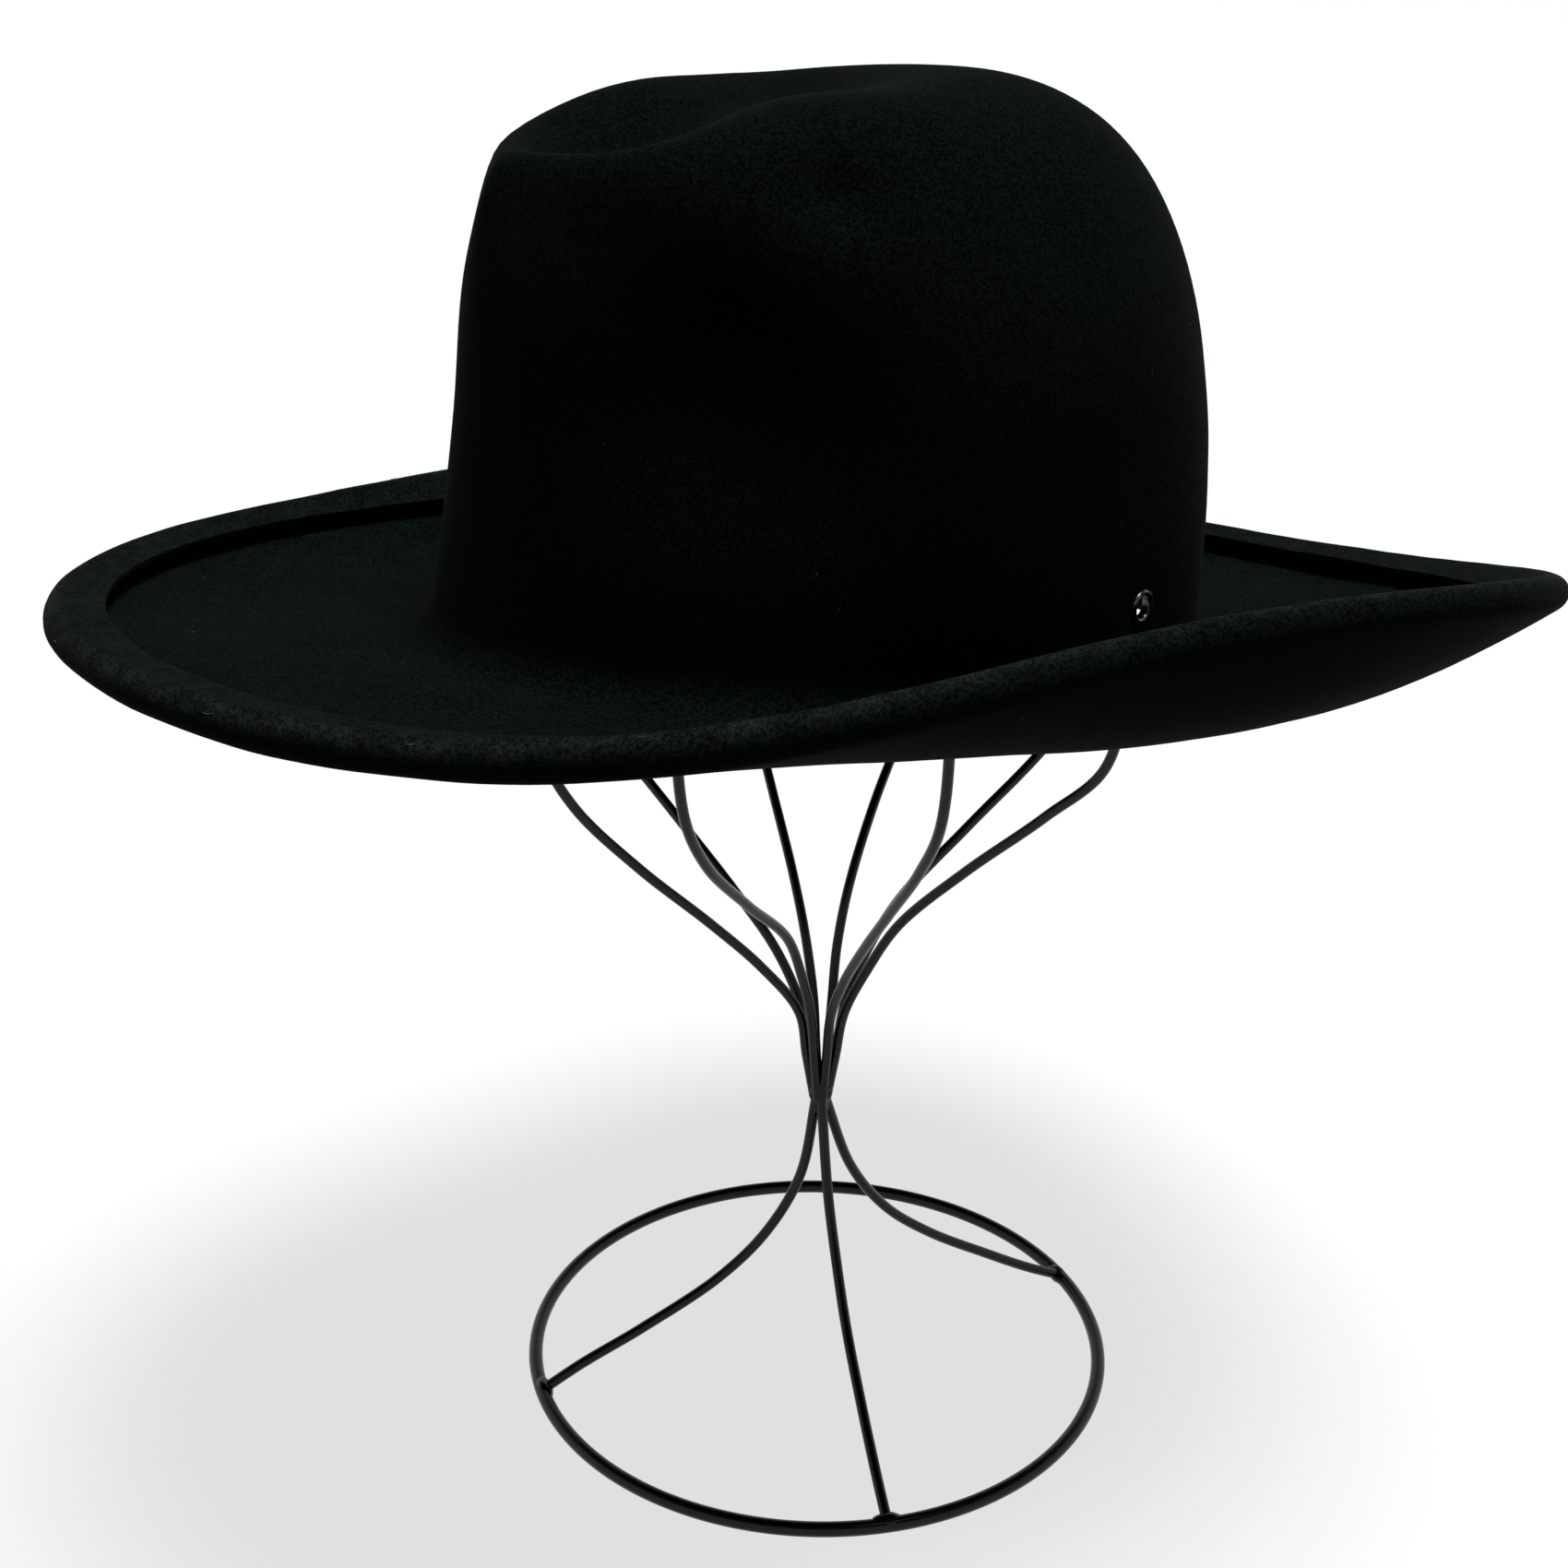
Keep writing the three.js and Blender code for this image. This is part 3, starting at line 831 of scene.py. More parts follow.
    @staticmethod
    def around_stations(values: tuple[float, ...], angle: np.ndarray) -> np.ndarray:
        """A smooth curve round the hat through one value per station.

        Args:
            values: the values, evenly spaced round the full turn.
            angle: the angles to read it at.

        Returns:
            One value per angle.
        """
        count = len(values)
        total = np.zeros_like(angle)
        for index, value in enumerate(values):
            apart = angle - TURN * index / count
            half = np.sin(apart / 2)
            safe = np.where(np.abs(half) < 1e-9, 1.0, half)
            weight = np.sin(count * apart / 2) * np.cos(apart / 2) / (count * safe)
            total += value * np.where(np.abs(half) < 1e-9, 1.0, weight)
        return total

    def brim_section(self, angle: np.ndarray) -> tuple[np.ndarray, np.ndarray]:
        """The brim's section from the fillet at the crown's foot to the raw lip of the rolled edge.

        Args:
            angle: the angles round the hat.

        Returns:
            The distances out from the crown's foot and the heights, by row and angle.
        """
        outs, ups = [], []
        for row in range(1, self.fillet_rows + 1):
            turn = math.pi / 2 * row / (self.fillet_rows + 1)
            outs.append(np.full_like(angle, self.fillet * (1 - math.cos(turn))))
            ups.append(np.full_like(angle, self.fillet * (1 - math.sin(turn))))
        reach = self.brim_width * self.around_stations(self.brim_reaches, angle)
        lift = self.brim_lift * self.around_stations(self.brim_lifts, angle)
        turn = self.brim_turn_ends
        turn = turn + (self.brim_turn_sides - turn) * np.sin(angle) ** 2
        edge = reach - self.curl_radius - self.felt / 2
        span = edge - self.fillet
        for share in np.linspace(0, 1, self.brim_rows + 1):
            outs.append(self.fillet + span * share)
            ups.append(lift * share**turn)
        slope = np.arctan2(lift * turn, span)
        last = -math.pi / 2 + self.curl_turn
        steps = range(1, self.curl_rows + 1)
        curl = [-math.pi / 2 + self.curl_turn * row / self.curl_rows for row in steps]
        pairs = [(self.curl_radius * math.cos(t), self.curl_radius * (1 + math.sin(t))) for t in curl]
        end = pairs[-1]
        for row in range(1, self.lip_rows + 1):
            far = self.lip_width * row / self.lip_rows
            pairs.append((end[0] - far * math.sin(last), end[1] + far * math.cos(last)))
        for out, up in pairs:
            outs.append(edge + out * np.cos(slope) - up * np.sin(slope))
            ups.append(lift + out * np.sin(slope) + up * np.cos(slope))
        return np.stack(outs), np.stack(ups)

    def middle_rows(self) -> np.ndarray:
        """Points on the middle of the felt, from the top of the crown to the lip, by row and column.

        Returns:
            The points, by row and column.
        """
        angle = np.arange(self.columns) * TURN / self.columns
        shares = 1 - np.arange(self.crown_rows + 1)[:, None] / self.crown_rows
        crown = self.crown_point(np.broadcast_to(angle, (len(shares), self.columns)), shares + 0 * angle)
        out, up = self.brim_section(angle)
        heading = np.stack([np.sin(angle), -np.cos(angle)], axis=-1)
        size = np.array([self.crown_width, self.crown_length])
        away = heading / size
        away /= np.linalg.norm(away, axis=-1, keepdims=True)
        level = heading * size / 2 + out[..., None] * away
        return np.concatenate([crown, np.concatenate([level, up[..., None]], axis=-1)])

    def normals(self, rows: np.ndarray) -> np.ndarray:
        """Directions square to the felt, pointing out of the crown and up from the brim.

        Args:
            rows: points on the middle of the felt, by row and column.

        Returns:
            One direction per point.
        """
        around = np.roll(rows, -1, axis=1) - np.roll(rows, 1, axis=1)
        down = np.concatenate([rows[1:2] - rows[0:1], rows[2:] - rows[:-2], rows[-1:] - rows[-2:-1]])
        square = np.cross(down, around)
        square[0] = (0.0, 0.0, 1.0)
        return square / np.linalg.norm(square, axis=-1, keepdims=True)

    def wave(self, points: np.ndarray) -> np.ndarray:
        """How far the hand-shaped felt stands off its smooth shape.

        Args:
            points: the points, in the hat's frame.

        Returns:
            One distance per point.
        """
        off = roughened(points, self.wave_size, self.wave_depth)
        off = off + roughened(points, self.dimple_size, self.dimple_depth)
        for dent in self.dents:
            apart = np.linalg.norm(points - np.array(dent.middle), axis=-1)
            off -= dent.depth * self.bump(apart, 0.0, dent.radius)
        return off

    def waved_rows(self) -> tuple[np.ndarray, np.ndarray]:
        """The middle of the hand-shaped felt and the directions square to it.

        Returns:
            The points and the directions, by row and column.
        """
        rows = self.middle_rows()
        rows = rows + self.normals(rows) * self.wave(rows)[..., None]
        return rows, self.normals(rows)

    def lightening(self) -> np.ndarray:
        """How much each ring of the skin is lightened: rubbed towards the edges, and most along the
        crest of the rolled edge, where it is part wear and part painted highlight.

        Returns:
            One value per ring, from 0 to 1.
        """
        plain = self.crown_rows + self.fillet_rows + self.brim_rows + 1
        brim = self.rub_brim * np.linspace(0, 1, plain) ** self.rub_brim_fade
        hidden = np.zeros(self.curl_rows + self.lip_rows)
        # The crest of the rolled edge: lighter felt that is part wear and part painted highlight.
        crest = self.bump(np.linspace(0, 1, self.curl_rows), *self.crest_rub_and_highlight)
        curl = self.rub_curl + (1 - self.rub_curl) * crest
        lip = np.full(self.lip_rows, self.rub_lip)
        ends = np.full(self.end_rows, self.rub_end)
        return np.concatenate([brim, hidden, ends, lip, curl[::-1], brim[::-1]])

    def halves(self, rows: np.ndarray, eyelets: list["Eyelet"]) -> np.ndarray:
        """Half the felt's thickness at each point, which each eyelet presses thinner round it.

        Args:
            rows: points on the middle of the felt, by row and column.
            eyelets: the eyelets that go through it.

        Returns:
            One distance per point, with a last axis of 1.
        """
        half = np.full(rows.shape[:-1], self.felt / 2)
        for eyelet in eyelets:
            apart = np.linalg.norm(rows - eyelet.placing(self)[:3, 3], axis=-1)
            half *= 1 - self.press * np.exp(-((apart / self.press_radius) ** self.press_edge))
        return half[..., None]

    def skin(self, eyelets: list["Eyelet"]) -> Shell:
        """The closed skin: along one face of the felt, round the lip's cut end and back.

        Args:
            eyelets: the eyelets that go through it.

        Returns:
            The skin, in the hat's frame.
        """
        rows, normals = self.waved_rows()
        half = self.felt / 2
        halves = self.halves(rows, eyelets)
        out = rows[-1] - rows[-2]
        out /= np.linalg.norm(out, axis=-1, keepdims=True)
        ends = []
        for step in range(1, self.end_rows + 1):
            around = math.pi * step / (self.end_rows + 1)
            square, along = math.cos(around), math.sin(around)
            reach = (abs(square) ** 4 + along**4) ** -0.25
            ends.append(rows[-1] + half * reach * (square * normals[-1] + self.lip_end * along * out))
        outer = rows + halves * normals
        inner = rows - halves * normals
        shell = Shell()
        numbers = shell.add_rings(np.concatenate([outer[1:], np.stack(ends), inner[:0:-1]]))
        shell.add_fan(numbers[0], outer[0].mean(axis=0))
        shell.add_fan(numbers[-1], inner[0].mean(axis=0))
        return shell

    def build(
        self, axis: np.ndarray, eyelets: list["Eyelet"], material: bpy.types.Material
    ) -> bpy.types.Object:
        """Builds the felt with its eyelet holes.

        Args:
            axis: the stand's axis in the row frame.
            eyelets: the eyelets that go through it.
            material: the felt's finish.

        Returns:
            The finished piece.
        """
        shell = self.skin(eyelets)
        placing = self.placing(axis)
        shell.move(placing)
        piece = shell.build("felt_hat", self.sharp)
        # The attribute carries the lightening: wear towards the edges and a painted highlight along the
        # crest of the rolled edge.
        values = np.concatenate([np.repeat(self.lightening(), self.columns), np.zeros(2)])
        layer = piece.data.attributes.new(RUB_AND_CREST_HIGHLIGHT, "FLOAT", "POINT")
        layer.data.foreach_set("value", values.astype(np.float32))
        for eyelet in eyelets:
            drill = eyelet.drill(placing @ eyelet.placing(self))
            cut = piece.modifiers.new("hole", "BOOLEAN")
            cut.object = drill
            cut.operation = "DIFFERENCE"
            cut.solver = "EXACT"
            evaluated = piece.evaluated_get(bpy.context.evaluated_depsgraph_get())
            mesh = bpy.data.meshes.new_from_object(evaluated)
            piece.modifiers.clear()
            piece.data = mesh
            bpy.data.objects.remove(drill)
        piece.data.shade_smooth()
        piece.data.set_sharp_from_angle(angle=math.radians(self.sharp))
        return dress(piece, material, "felt_body")


@dataclass
class Eyelet:
    """A metal tube through the felt with a round flange outside and a flatter one inside."""

    side: Side
    angle: float = math.radians(113)
    height: float = 23.0
    hole: float = 5.6
    wall: float = 0.35
    flange: float = 8.6
    bead: float = 0.75
    inner_bead: float = 0.4
    fit: float = 0.04
    drill_reach: float = 6.0
    sides: int = 64
    bead_steps: int = 16

    @property
    def node(self) -> str:
        """The CAD node that it stands for."""
        return f"eyelet_{self.side.name.lower()}"

    def placing(self, hat: FeltHat) -> np.ndarray:
        """Where the eyelet sits in the hat's frame, with +Z square to the felt.

        Args:
            hat: the hat that it goes through.

        Returns:
            A 4 by 4 matrix.
        """
        angle = self.angle * self.side.value
        shares = np.linspace(0, 0.5, 4001)
        heights = hat.crown_point(np.full_like(shares, angle), shares)[:, 2]
        share = float(np.interp(self.height, heights, shares))
        small = 0.01

        def at(turn: float, up: float) -> np.ndarray:
            """The crown's point at an angle and share."""
            return hat.crown_point(np.array([turn]), np.array([up]))[0]

        around = at(angle + small, share) - at(angle - small, share)
        rising = at(angle, share + small) - at(angle, share - small)
        out = np.cross(around, rising)
        out /= np.linalg.norm(out)
        across = around / np.linalg.norm(around)
        point = at(angle, share)
        matrix = np.identity(4)
        matrix[:3, 0], matrix[:3, 1], matrix[:3, 2] = across, np.cross(out, across), out
        matrix[:3, 3] = point + out * hat.wave(point[None])[0]
        return matrix

    def drill(self, placing: np.ndarray) -> bpy.types.Object:
        """The tool that cuts the eyelet's hole in the felt.

        Args:
            placing: where the eyelet sits in the row frame, as a 4 by 4 matrix.

        Returns:
            The tool.
        """
        radius = self.hole / 2 + self.wall + self.fit
        ends = np.array([(radius, -self.drill_reach), (radius, self.drill_reach)])
        shell = Shell()
        shell.add_closed(lathe(ends, self.sides))
        shell.move(placing)
        return shell.build("drill")

    def build(
        self, axis: np.ndarray, hat: FeltHat, material: bpy.types.Material
    ) -> bpy.types.Object:
        """Builds the eyelet in the hat.

        Args:
            axis: the stand's axis in the row frame.
            hat: the hat that it goes through.
            material: the metal's finish.

        Returns:
            The finished piece.
        """
        bore = self.hole / 2
        seat = hat.felt / 2 * (1 - hat.press) + self.fit
        middle, half = (bore + self.flange / 2) / 2, (self.flange / 2 - bore) / 2
        steps = np.arange(self.bead_steps + 1) * math.pi / self.bead_steps
        top = np.stack([middle + half * np.cos(steps), seat + self.bead * np.sin(steps)], axis=-1)
        low = np.stack([middle - half * np.cos(steps), -seat - self.inner_bead * np.sin(steps)], axis=-1)
        barrel = np.array([(bore + self.wall, -seat), (bore + self.wall, seat)])
        shell = Shell()
        shell.add_rings(lathe(np.concatenate([top, low, barrel]), self.sides), looped=True)
        shell.move(hat.placing(axis) @ self.placing(hat))
        return dress(shell.build(f"{self.node}_metal"), material, self.node)


@dataclass(frozen=True)
class Fibre:
    """A loose fibre: its ring and column on the felt, its turn and bend in degrees, and its length.

    The face is 1 for the top of the brim and the outside of the crown, and -1 for the other one.
    """

    ring: int
    column: int
    turn: float
    bend: float
    length: float
    face: int = 1


@dataclass
class Lint:
    """A few loose fibres that cling to the felt."""

    thickness: float = 0.13
    steps: int = 14
    sides: int = 6
    lift: float = 0.05
    fibres: tuple[Fibre, ...] = (
        Fibre(93, 50, 25, 130, 5.5, -1),
        Fibre(79, 208, 70, 60, 2.0),
        Fibre(53, 41, 75, 40, 1.6),
        Fibre(55, 43, 60, 30, 1.2),
        Fibre(39, 88, 10, 40, 0.9),
        Fibre(104, 12, 5, 30, 3.0, -1),
        Fibre(106, 32, -8, 20, 2.4, -1),
        Fibre(105, 22, 8, 25, 2.0, -1),
        Fibre(103, 238, 0, 15, 3.0, -1),
        Fibre(105, 201, 6, 30, 2.6, -1),
        Fibre(106, 197, -5, 25, 2.0, -1),
    )

    def build(
        self, axis: np.ndarray, hat: FeltHat, material: bpy.types.Material
    ) -> bpy.types.Object:
        """Builds the fibres on the felt.

        Args:
            axis: the stand's axis in the row frame.
            hat: the hat that they lie on.
            material: their finish.

        Returns:
            The finished piece.
        """
        rows, normals = hat.waved_rows()
        shell = Shell()
        for fibre in self.fibres:
            middle = rows[fibre.ring, fibre.column]
            square = fibre.face * normals[fibre.ring, fibre.column]
            along = rows[fibre.ring, (fibre.column + 1) % hat.columns] - middle
            along /= np.linalg.norm(along)
            across = np.cross(square, along)
            share = np.linspace(-0.5, 0.5, self.steps)
            heading = np.radians(fibre.turn + fibre.bend * share)
            steps = np.cos(heading)[:, None] * along + np.sin(heading)[:, None] * across
            path = np.cumsum(steps, axis=0) * fibre.length / self.steps
            off = hat.felt / 2 + self.lift + self.thickness / 2
            line = middle + path - path.mean(axis=0) + square * off
            shell.add_tube(line, self.thickness, square, self.sides)
        shell.move(hat.placing(axis))
        piece = shell.build("felt_lint")
        piece.data.materials.append(material)
        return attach(piece, "root")


# The stand


@dataclass(frozen=True)
class Wire:
    """A leg or an arm: its CAD node, its turn in degrees from +X, and its distances out.

    The distances are at set heights, in shares of the ring's or the cage's radius.
    """

    node: str
    turn: float
    outs: tuple[float, ...]


@dataclass
class WireStand:
    """The open stand: a ring, three legs, the waist's weld, eight arms and the cap where they meet."""

    axis: np.ndarray
    top: float
    ring_radius: float = 85.0
    ring_wire: float = 4.1
    leg_wire: float = 3.0
    arm_wire: float = 2.8
    cage_radius: float = 82.0
    waist_height: float = 86.0
    hat_height: float = 227.0
    arm_waist: float = 2.0
    leg_waist: float = 1.2
    arm_stub: float = 18.0
    leg_stub: float = 17.0
    collar_radius: float = 3.9
    collar_length: float = 8.0
    cap_radius: float = 12.0
    cap_thickness: float = 4.6
    cap_overlap: float = 1.0
    weld: Triple = (2.5, 5.0, 2.35)
    weld_inset: float = 0.7
    weld_rise: float = 0.3
    weld_lump: Pair = (0.7, 0.16)
    weld_cut: float = 0.12
    collar_lump: Pair = (1.5, 0.22)
    sides: int = 20
    ring_steps: int = 240
    step: float = 1.4
    legs: tuple[Wire, ...] = (
        Wire("leg_front", 343, (0.13, 0.28, 0.43, 0.66, 0.84)),
        Wire("leg_back", 84, (0.12, 0.26, 0.44, 0.68, 0.85)),
        Wire("leg_side", 259, (0.07, 0.19, 0.36, 0.64, 0.86)),
    )
    leg_heights: tuple[float, ...] = (0.7, 0.5, 0.35, 0.2, 0.1)
    arms: tuple[Wire, ...] = (
        Wire("arm_1", 35, (0.17, 0.28, 0.51, 0.77)),
        Wire("arm_2", 80, (0.16, 0.28, 0.53, 0.79)),
        Wire("arm_3", 125, (0.12, 0.21, 0.42, 0.72)),
        Wire("arm_4", 170, (0.17, 0.31, 0.55, 0.79)),
        Wire("arm_5", 215, (0.18, 0.34, 0.57, 0.8)),
        Wire("arm_6", 260, (0.22, 0.4, 0.65, 0.86)),
        Wire("arm_7", 304, (0.16, 0.27, 0.56, 0.83)),
        Wire("arm_8", 350, (0.2, 0.36, 0.59, 0.82)),
    )
    arm_heights: tuple[float, ...] = (0.31, 0.42, 0.56, 0.7)
    arm_flare: tuple[Pair, ...] = ((0.1, 0.055), (0.2, 0.085))
    arm_dome: tuple[Pair, ...] = ((-0.2, 0.96), (0.0, 1.0), (0.35, 0.93), (0.7, 0.74), (0.93, 0.42))
    collar_shape: tuple[Pair, ...] = (
        (-0.75, 0.45), (-0.6, 0.6), (-0.2, 0.68), (0.3, 0.9), (0.62, 1.0), (0.8, 0.86), (0.92, 0.5),
    )

    def bend(self, stations: list[Pair], turn: float) -> np.ndarray:
        """A hand-bent wire's middle line in an upright plane through the axis.

        Args:
            stations: the distance out and the height of the points that it goes through.
            turn: the plane's turn in degrees from +X.

        Returns:
            Points along the line, a step apart.
        """
        knots = np.array(stations, float)
        knots = np.concatenate([2 * knots[:1] - knots[1:2], knots, 2 * knots[-1:] - knots[-2:-1]])
        line = []
        for before, start, end, after in zip(knots, knots[1:], knots[2:], knots[3:]):
            steps = ((before, start), (start, end), (end, after))
            first, middle, last = (math.sqrt(math.dist(*pair)) for pair in steps)
            along = (end - start) / middle
            leave = (start - before) / first - (end - before) / (first + middle) + along
            arrive = along - (after - start) / (middle + last) + (after - end) / last
            leave, arrive = leave * middle, arrive * middle
            share = np.linspace(0, 1, 60, endpoint=False)[:, None]
            squared = (3 * (end - start) - 2 * leave - arrive) * share**2
            cubed = (2 * (start - end) + leave + arrive) * share**3
            line.append(start + leave * share + squared + cubed)
        flat = np.concatenate([*line, knots[-2:-1]])
        length = np.concatenate([[0.0], np.cumsum(np.linalg.norm(np.diff(flat, axis=0), axis=1))])
        even = np.linspace(0, length[-1], max(8, round(length[-1] / self.step)))
        out, height = (np.interp(even, length, flat[:, column]) for column in (0, 1))
        angle = math.radians(turn)
        level = [self.axis[0] + out * math.cos(angle), self.axis[1] + out * math.sin(angle)]
        return np.stack([*level, height], axis=-1)

    def arm_line(self, arm: Wire) -> np.ndarray:
        """The middle line of an arm from the waist to the cap.

        Args:
            arm: the arm.

        Returns:
            Points along the line, a step apart.
        """
        neck = self.hat_height - self.waist_height
        end = self.top - self.cap_thickness / 2
        cage = self.cage_radius
        dome = end - self.hat_height
        open_part = [*self.arm_flare, *zip(self.arm_heights, arm.outs)]
        stations = [(self.arm_waist, self.waist_height)]
        stations += [(cage * out, self.waist_height + up * neck) for up, out in open_part]
        stations += [(cage * out, self.hat_height + up * dome) for up, out in self.arm_dome]
        return self.bend([*stations, (0.0, end)], arm.turn)

    def leg_line(self, leg: Wire) -> np.ndarray:
        """The middle line of a leg from the waist to the ring.

        Args:
            leg: the leg.

        Returns:
            Points along the line, a step apart.
        """
        radius, waist = self.ring_radius, self.waist_height
        stations = [(self.leg_waist, waist)]
        stations += [(radius * out, waist * up) for up, out in zip(self.leg_heights, leg.outs)]
        return self.bend([*stations, (self.ring_radius, self.ring_wire / 2)], leg.turn)

    def add_wire(self, shell: Shell, line: np.ndarray, diameter: float, turn: float) -> None:
        """Adds a round wire along a line in an upright plane.

        Args:
            shell: the mesh that it goes to.
            line: the wire's middle line.
            diameter: its thickness.
            turn: the plane's turn in degrees from +X.
        """
        angle = math.radians(turn)
        shell.add_tube(line, diameter, np.array([-math.sin(angle), math.cos(angle), 0.0]), self.sides)

    def split(self, line: np.ndarray, rise: float) -> tuple[np.ndarray, np.ndarray]:
        """A wire's line in two: the stub in the waist's weld, and the rest, which starts at its end."""
        cut = int(np.argmax(np.abs(line[:, 2] - line[0, 2]) >= rise))
        return line[: cut + 1], line[cut:]

    def foot(self, leg: Wire) -> np.ndarray:
        """A lump of weld at a leg's foot.

        Args:
            leg: the leg.

        Returns:
            The lump's rings of points, from its lowest to its highest.
        """
        angle = math.radians(leg.turn)
        out = self.ring_radius - self.weld_inset
        level = self.axis + out * np.array([math.cos(angle), math.sin(angle)])
        centre = np.array([*level, self.ring_wire / 2 + self.weld_rise])
        tilts = np.linspace(-math.pi / 2 + self.weld_cut, math.pi / 2 - self.weld_cut, 14)
        rings = lathe(np.stack([np.cos(tilts), np.sin(tilts)], axis=-1), 28)
        swollen = rings * (1 + roughened(rings + centre, *self.weld_lump))[..., None]
        turned = np.array(Matrix.Rotation(angle, 3, "Z"))
        return swollen * np.array(self.weld) @ turned.T + centre

    def build_ring(self, material: bpy.types.Material) -> bpy.types.Object:
        """Builds the ring with the weld at each leg's foot.

        Args:
            material: the stand's finish.

        Returns:
            The finished piece.
        """
        shell = Shell()
        around = np.arange(self.ring_steps) * TURN / self.ring_steps
        section = np.arange(self.sides) * TURN / self.sides
        radius = self.ring_radius + self.ring_wire / 2 * np.cos(section)[None, :]
        height = self.ring_wire / 2 * (1 + np.sin(section))[None, :] + 0 * around[:, None]
        x = self.axis[0] + radius * np.cos(around)[:, None]
        y = self.axis[1] + radius * np.sin(around)[:, None]
        shell.add_rings(np.stack([x, y, height], axis=-1), looped=True)
        for leg in self.legs:
            shell.add_closed(self.foot(leg))
        return dress(shell.build("ring"), material, "base_ring")

    def build_waist(self, material: bpy.types.Material) -> bpy.types.Object:
        """Builds the waist's weld with the ends of all the wires in it.

        Args:
            material: the stand's finish.

        Returns:
            The finished piece.
        """
        shell = Shell()
        up, out = np.array(self.collar_shape).T
        fine, stations = np.linspace(0, len(up) - 1, 40), np.arange(len(up))
        radius = self.collar_radius * np.interp(fine, stations, out)
        height = self.collar_length * np.interp(fine, stations, up)
        rings = lathe(np.stack([radius, height], axis=-1), 40)
        rings[..., :2] *= (1 + roughened(rings, *self.collar_lump))[..., None]
        shell.add_closed(rings + np.array([*self.axis, self.waist_height]))
        for leg in self.legs:
            stub, _ = self.split(self.leg_line(leg), self.leg_stub)
            self.add_wire(shell, stub, self.leg_wire, leg.turn)
        for arm in self.arms:
            stub, _ = self.split(self.arm_line(arm), self.arm_stub)
            self.add_wire(shell, stub, self.arm_wire, arm.turn)
        return dress(shell.build("waist"), material, "waist_weld")

    def build_leg(self, leg: Wire, material: bpy.types.Material) -> bpy.types.Object:
        """Builds a leg from the end of its stub to the ring.

        Args:
            leg: the leg.
            material: the stand's finish.

        Returns:
            The finished piece.
        """
        _, line = self.split(self.leg_line(leg), self.leg_stub)
        shell = Shell()
        self.add_wire(shell, line, self.leg_wire, leg.turn)
        return dress(shell.build(f"{leg.node}_wire"), material, leg.node)

    def build_arm(self, arm: Wire, material: bpy.types.Material) -> bpy.types.Object:
        """Builds an arm from the end of its stub to the cap.

        Args:
            arm: the arm.
            material: the stand's finish.

        Returns:
            The finished piece.
        """
        _, line = self.split(self.arm_line(arm), self.arm_stub)
        out = np.linalg.norm(line[:, :2] - self.axis, axis=1)
        inside = (out < self.cap_radius - self.cap_overlap) & (line[:, 2] > self.hat_height)
        shell = Shell()
        self.add_wire(shell, line[~inside], self.arm_wire, arm.turn)
        return dress(shell.build(f"{arm.node}_wire"), material, arm.node)

    def build_cap(self, material: bpy.types.Material) -> bpy.types.Object:
        """Builds the small disc where the arms meet, with rounded edges.

        Args:
            material: the stand's finish.

        Returns:
            The finished piece.
        """
        half, corner = self.cap_thickness / 2, self.cap_thickness / 3
        turns = np.linspace(0, math.pi / 2, 8)
        flat = self.cap_radius - corner
        rim = np.stack([flat + corner * np.cos(turns), half - corner + corner * np.sin(turns)], axis=-1)
        inner = np.linspace(flat, 1.0, 10)[1:]
        face = np.stack([inner, np.full_like(inner, half)], axis=-1)
        upper = np.concatenate([rim, face])
        profile = np.concatenate([upper[::-1] * np.array([1.0, -1.0]), upper])
        shell = Shell()
        shell.add_closed(lathe(profile, 64) + np.array([*self.axis, self.top - half]))
        return dress(shell.build("cap"), material, "top_cap")


# The studio


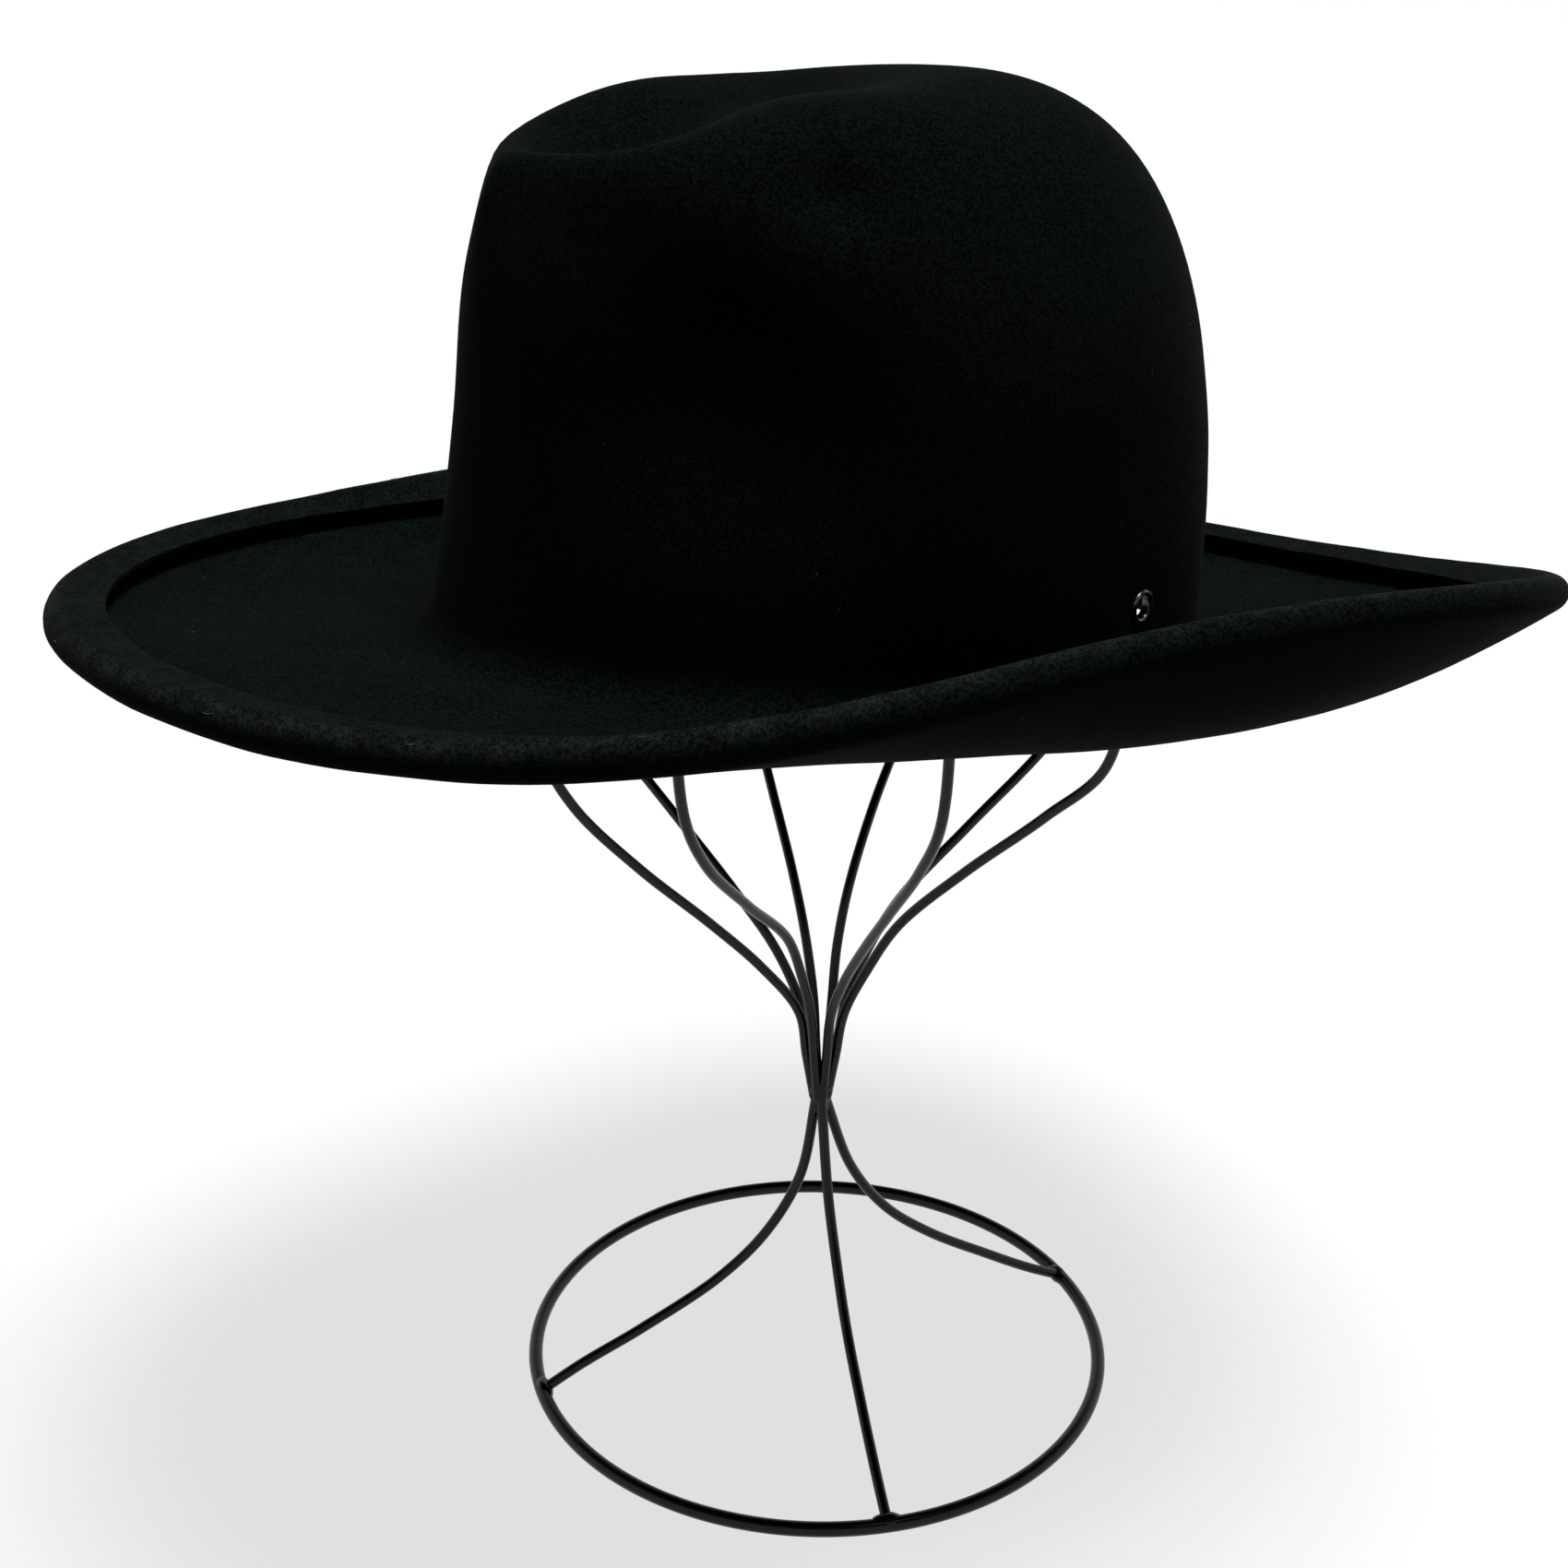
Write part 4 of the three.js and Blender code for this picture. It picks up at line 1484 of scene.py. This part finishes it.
@dataclass
class Studio:
    """A plain pale floor that curves up into a far wall, and soft light from above and below."""

    floor_radius: float = 14.0
    wall_height: float = 12.0
    bend_radius: float = 2.0
    floor_drop: float = 0.05
    sky: Colour = (0.93, 0.97, 1.0, 1.0)
    sky_strength: float = 0.035
    key_strength: float = 3.4
    key_angle: float = math.radians(24)
    key_tilt: float = math.radians(9)
    key_turn: float = math.radians(150)
    bounce_strength: float = 0.4
    bounce_angle: float = math.radians(120)

    def build_floor(self, material: bpy.types.Material) -> bpy.types.Object:
        """Builds the floor and the wall as one sheet, which doesn't light or shade the hat.

        Args:
            material: the floor's finish.

        Returns:
            The floor.
        """
        turns = np.linspace(0, math.pi / 2, 8)
        flat = [(radius, 0.0) for radius in np.geomspace(0.2, self.floor_radius, 12)]
        far, bend_radius = self.floor_radius, self.bend_radius
        bend = [(far + bend_radius * math.sin(t), bend_radius * (1 - math.cos(t))) for t in turns]
        top = (far + bend_radius, self.wall_height)
        rings = lathe(np.array([*flat, *bend[1:], top]) / MM, 96)
        shell = Shell()
        numbers = shell.add_rings(rings)
        shell.add_fan(numbers[0], rings[0].mean(axis=0))
        floor = shell.build("floor")
        floor.data.materials.append(material)
        floor.location.z = -self.floor_drop * MM
        floor.visible_diffuse = False
        floor.visible_shadow = False
        return floor

    def build_sky(self) -> None:
        """Makes the pale surroundings."""
        world = bpy.data.worlds.new("sky")
        world.use_nodes = True
        background = world.node_tree.nodes["Background"]
        background.inputs["Color"].default_value = self.sky
        background.inputs["Strength"].default_value = self.sky_strength
        bpy.context.scene.world = world

    def add_sun(self, name: str, strength: float, angle: float, turn: Triple) -> None:
        """Adds a broad distant light.

        Args:
            name: its name.
            strength: how strong it is.
            angle: how broad it is.
            turn: how it is turned from shining straight down.
        """
        light = bpy.data.lights.new(name, "SUN")
        light.energy = strength
        light.angle = angle
        lamp = bpy.data.objects.new(name, light)
        lamp.rotation_euler = turn
        bpy.context.scene.collection.objects.link(lamp)

    def build_lights(self) -> None:
        """Makes the broad light from above and the light that a pale floor throws back up."""
        self.add_sun("key", self.key_strength, self.key_angle, (self.key_tilt, 0.0, self.key_turn))
        self.add_sun("bounce", self.bounce_strength, self.bounce_angle, (math.pi, 0.0, 0.0))


@dataclass
class PhotoCamera:
    """The camera of the photograph, in millimetres from the stand's axis, and in degrees."""

    lens: float = 48.706
    eye: Triple = (-5.6, -541.6, 393.6)
    down: float = 21.27
    aside: float = -0.61
    roll: float = 0.5
    turn: float = 60.0

    def build(self, axis: np.ndarray) -> None:
        """Builds the camera and makes it the scene's.

        Args:
            axis: the stand's axis in the row frame, in millimetres.
        """
        down, aside, roll = (math.radians(value) for value in (self.down, self.aside, self.roll))
        level = math.cos(down)
        ahead = Vector((math.sin(aside) * level, math.cos(aside) * level, -math.sin(down)))
        right = Vector((math.cos(aside), -math.sin(aside), 0.0))
        up = right.cross(ahead)
        right, up = (
            math.cos(roll) * right + math.sin(roll) * up,
            math.cos(roll) * up - math.sin(roll) * right,
        )
        view = Matrix((right, up, -ahead)).transposed().to_4x4()
        view.translation = Vector(self.eye)
        turned = Matrix.Rotation(math.radians(self.turn), 4, "Z") @ view
        turned.translation = (turned.translation + Vector((*axis, 0.0))) * MM
        data = bpy.data.cameras.new("photo_camera")
        data.sensor_width = 36.0
        data.lens = self.lens
        data.clip_start = 0.02
        data.clip_end = 200.0
        camera = bpy.data.objects.new("photo_camera", data)
        camera.matrix_world = turned
        bpy.context.scene.collection.objects.link(camera)
        bpy.context.scene.camera = camera


def report(piece: bpy.types.Object) -> None:
    """Logs a piece and its number of triangles."""
    triangles = sum(len(face.vertices) - 2 for face in piece.data.polygons)
    LOG.info("%s: %d triangles", piece.name, triangles)


def main() -> None:
    """Builds the hat, the stand and the studio."""
    logging.basicConfig(level=logging.INFO, format="%(message)s")
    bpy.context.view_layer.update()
    low, high = (np.array(corner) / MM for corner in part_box("top_cap"))
    axis = ((low + high) / 2)[:2]
    bpy.context.scene.view_settings.view_transform = "Standard"

    felt, lacquer = FeltFinish().material(), LacquerFinish().material()
    gunmetal = GunmetalFinish().material()
    finishes = {"felt_body": felt, "eyelet_left": gunmetal, "eyelet_right": gunmetal}
    for name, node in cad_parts.items():
        node.data.materials.clear()
        node.data.materials.append(finishes.get(name, lacquer))

    PhotoCamera().build(axis)
    hat = FeltHat()
    eyelets = [Eyelet(side) for side in Side]
    report(hat.build(axis, eyelets, felt))
    for eyelet in eyelets:
        report(eyelet.build(axis, hat, gunmetal))
    report(Lint().build(axis, hat, LintFinish().material()))
    stand = WireStand(axis, float(high[2]))
    report(stand.build_ring(lacquer))
    report(stand.build_waist(lacquer))
    report(stand.build_cap(lacquer))
    for leg in stand.legs:
        report(stand.build_leg(leg, lacquer))
    for arm in stand.arms:
        report(stand.build_arm(arm, lacquer))

    studio = Studio()
    report(studio.build_floor(FloorFinish().material()))
    studio.build_sky()
    studio.build_lights()


if __name__ == "__main__":
    main()
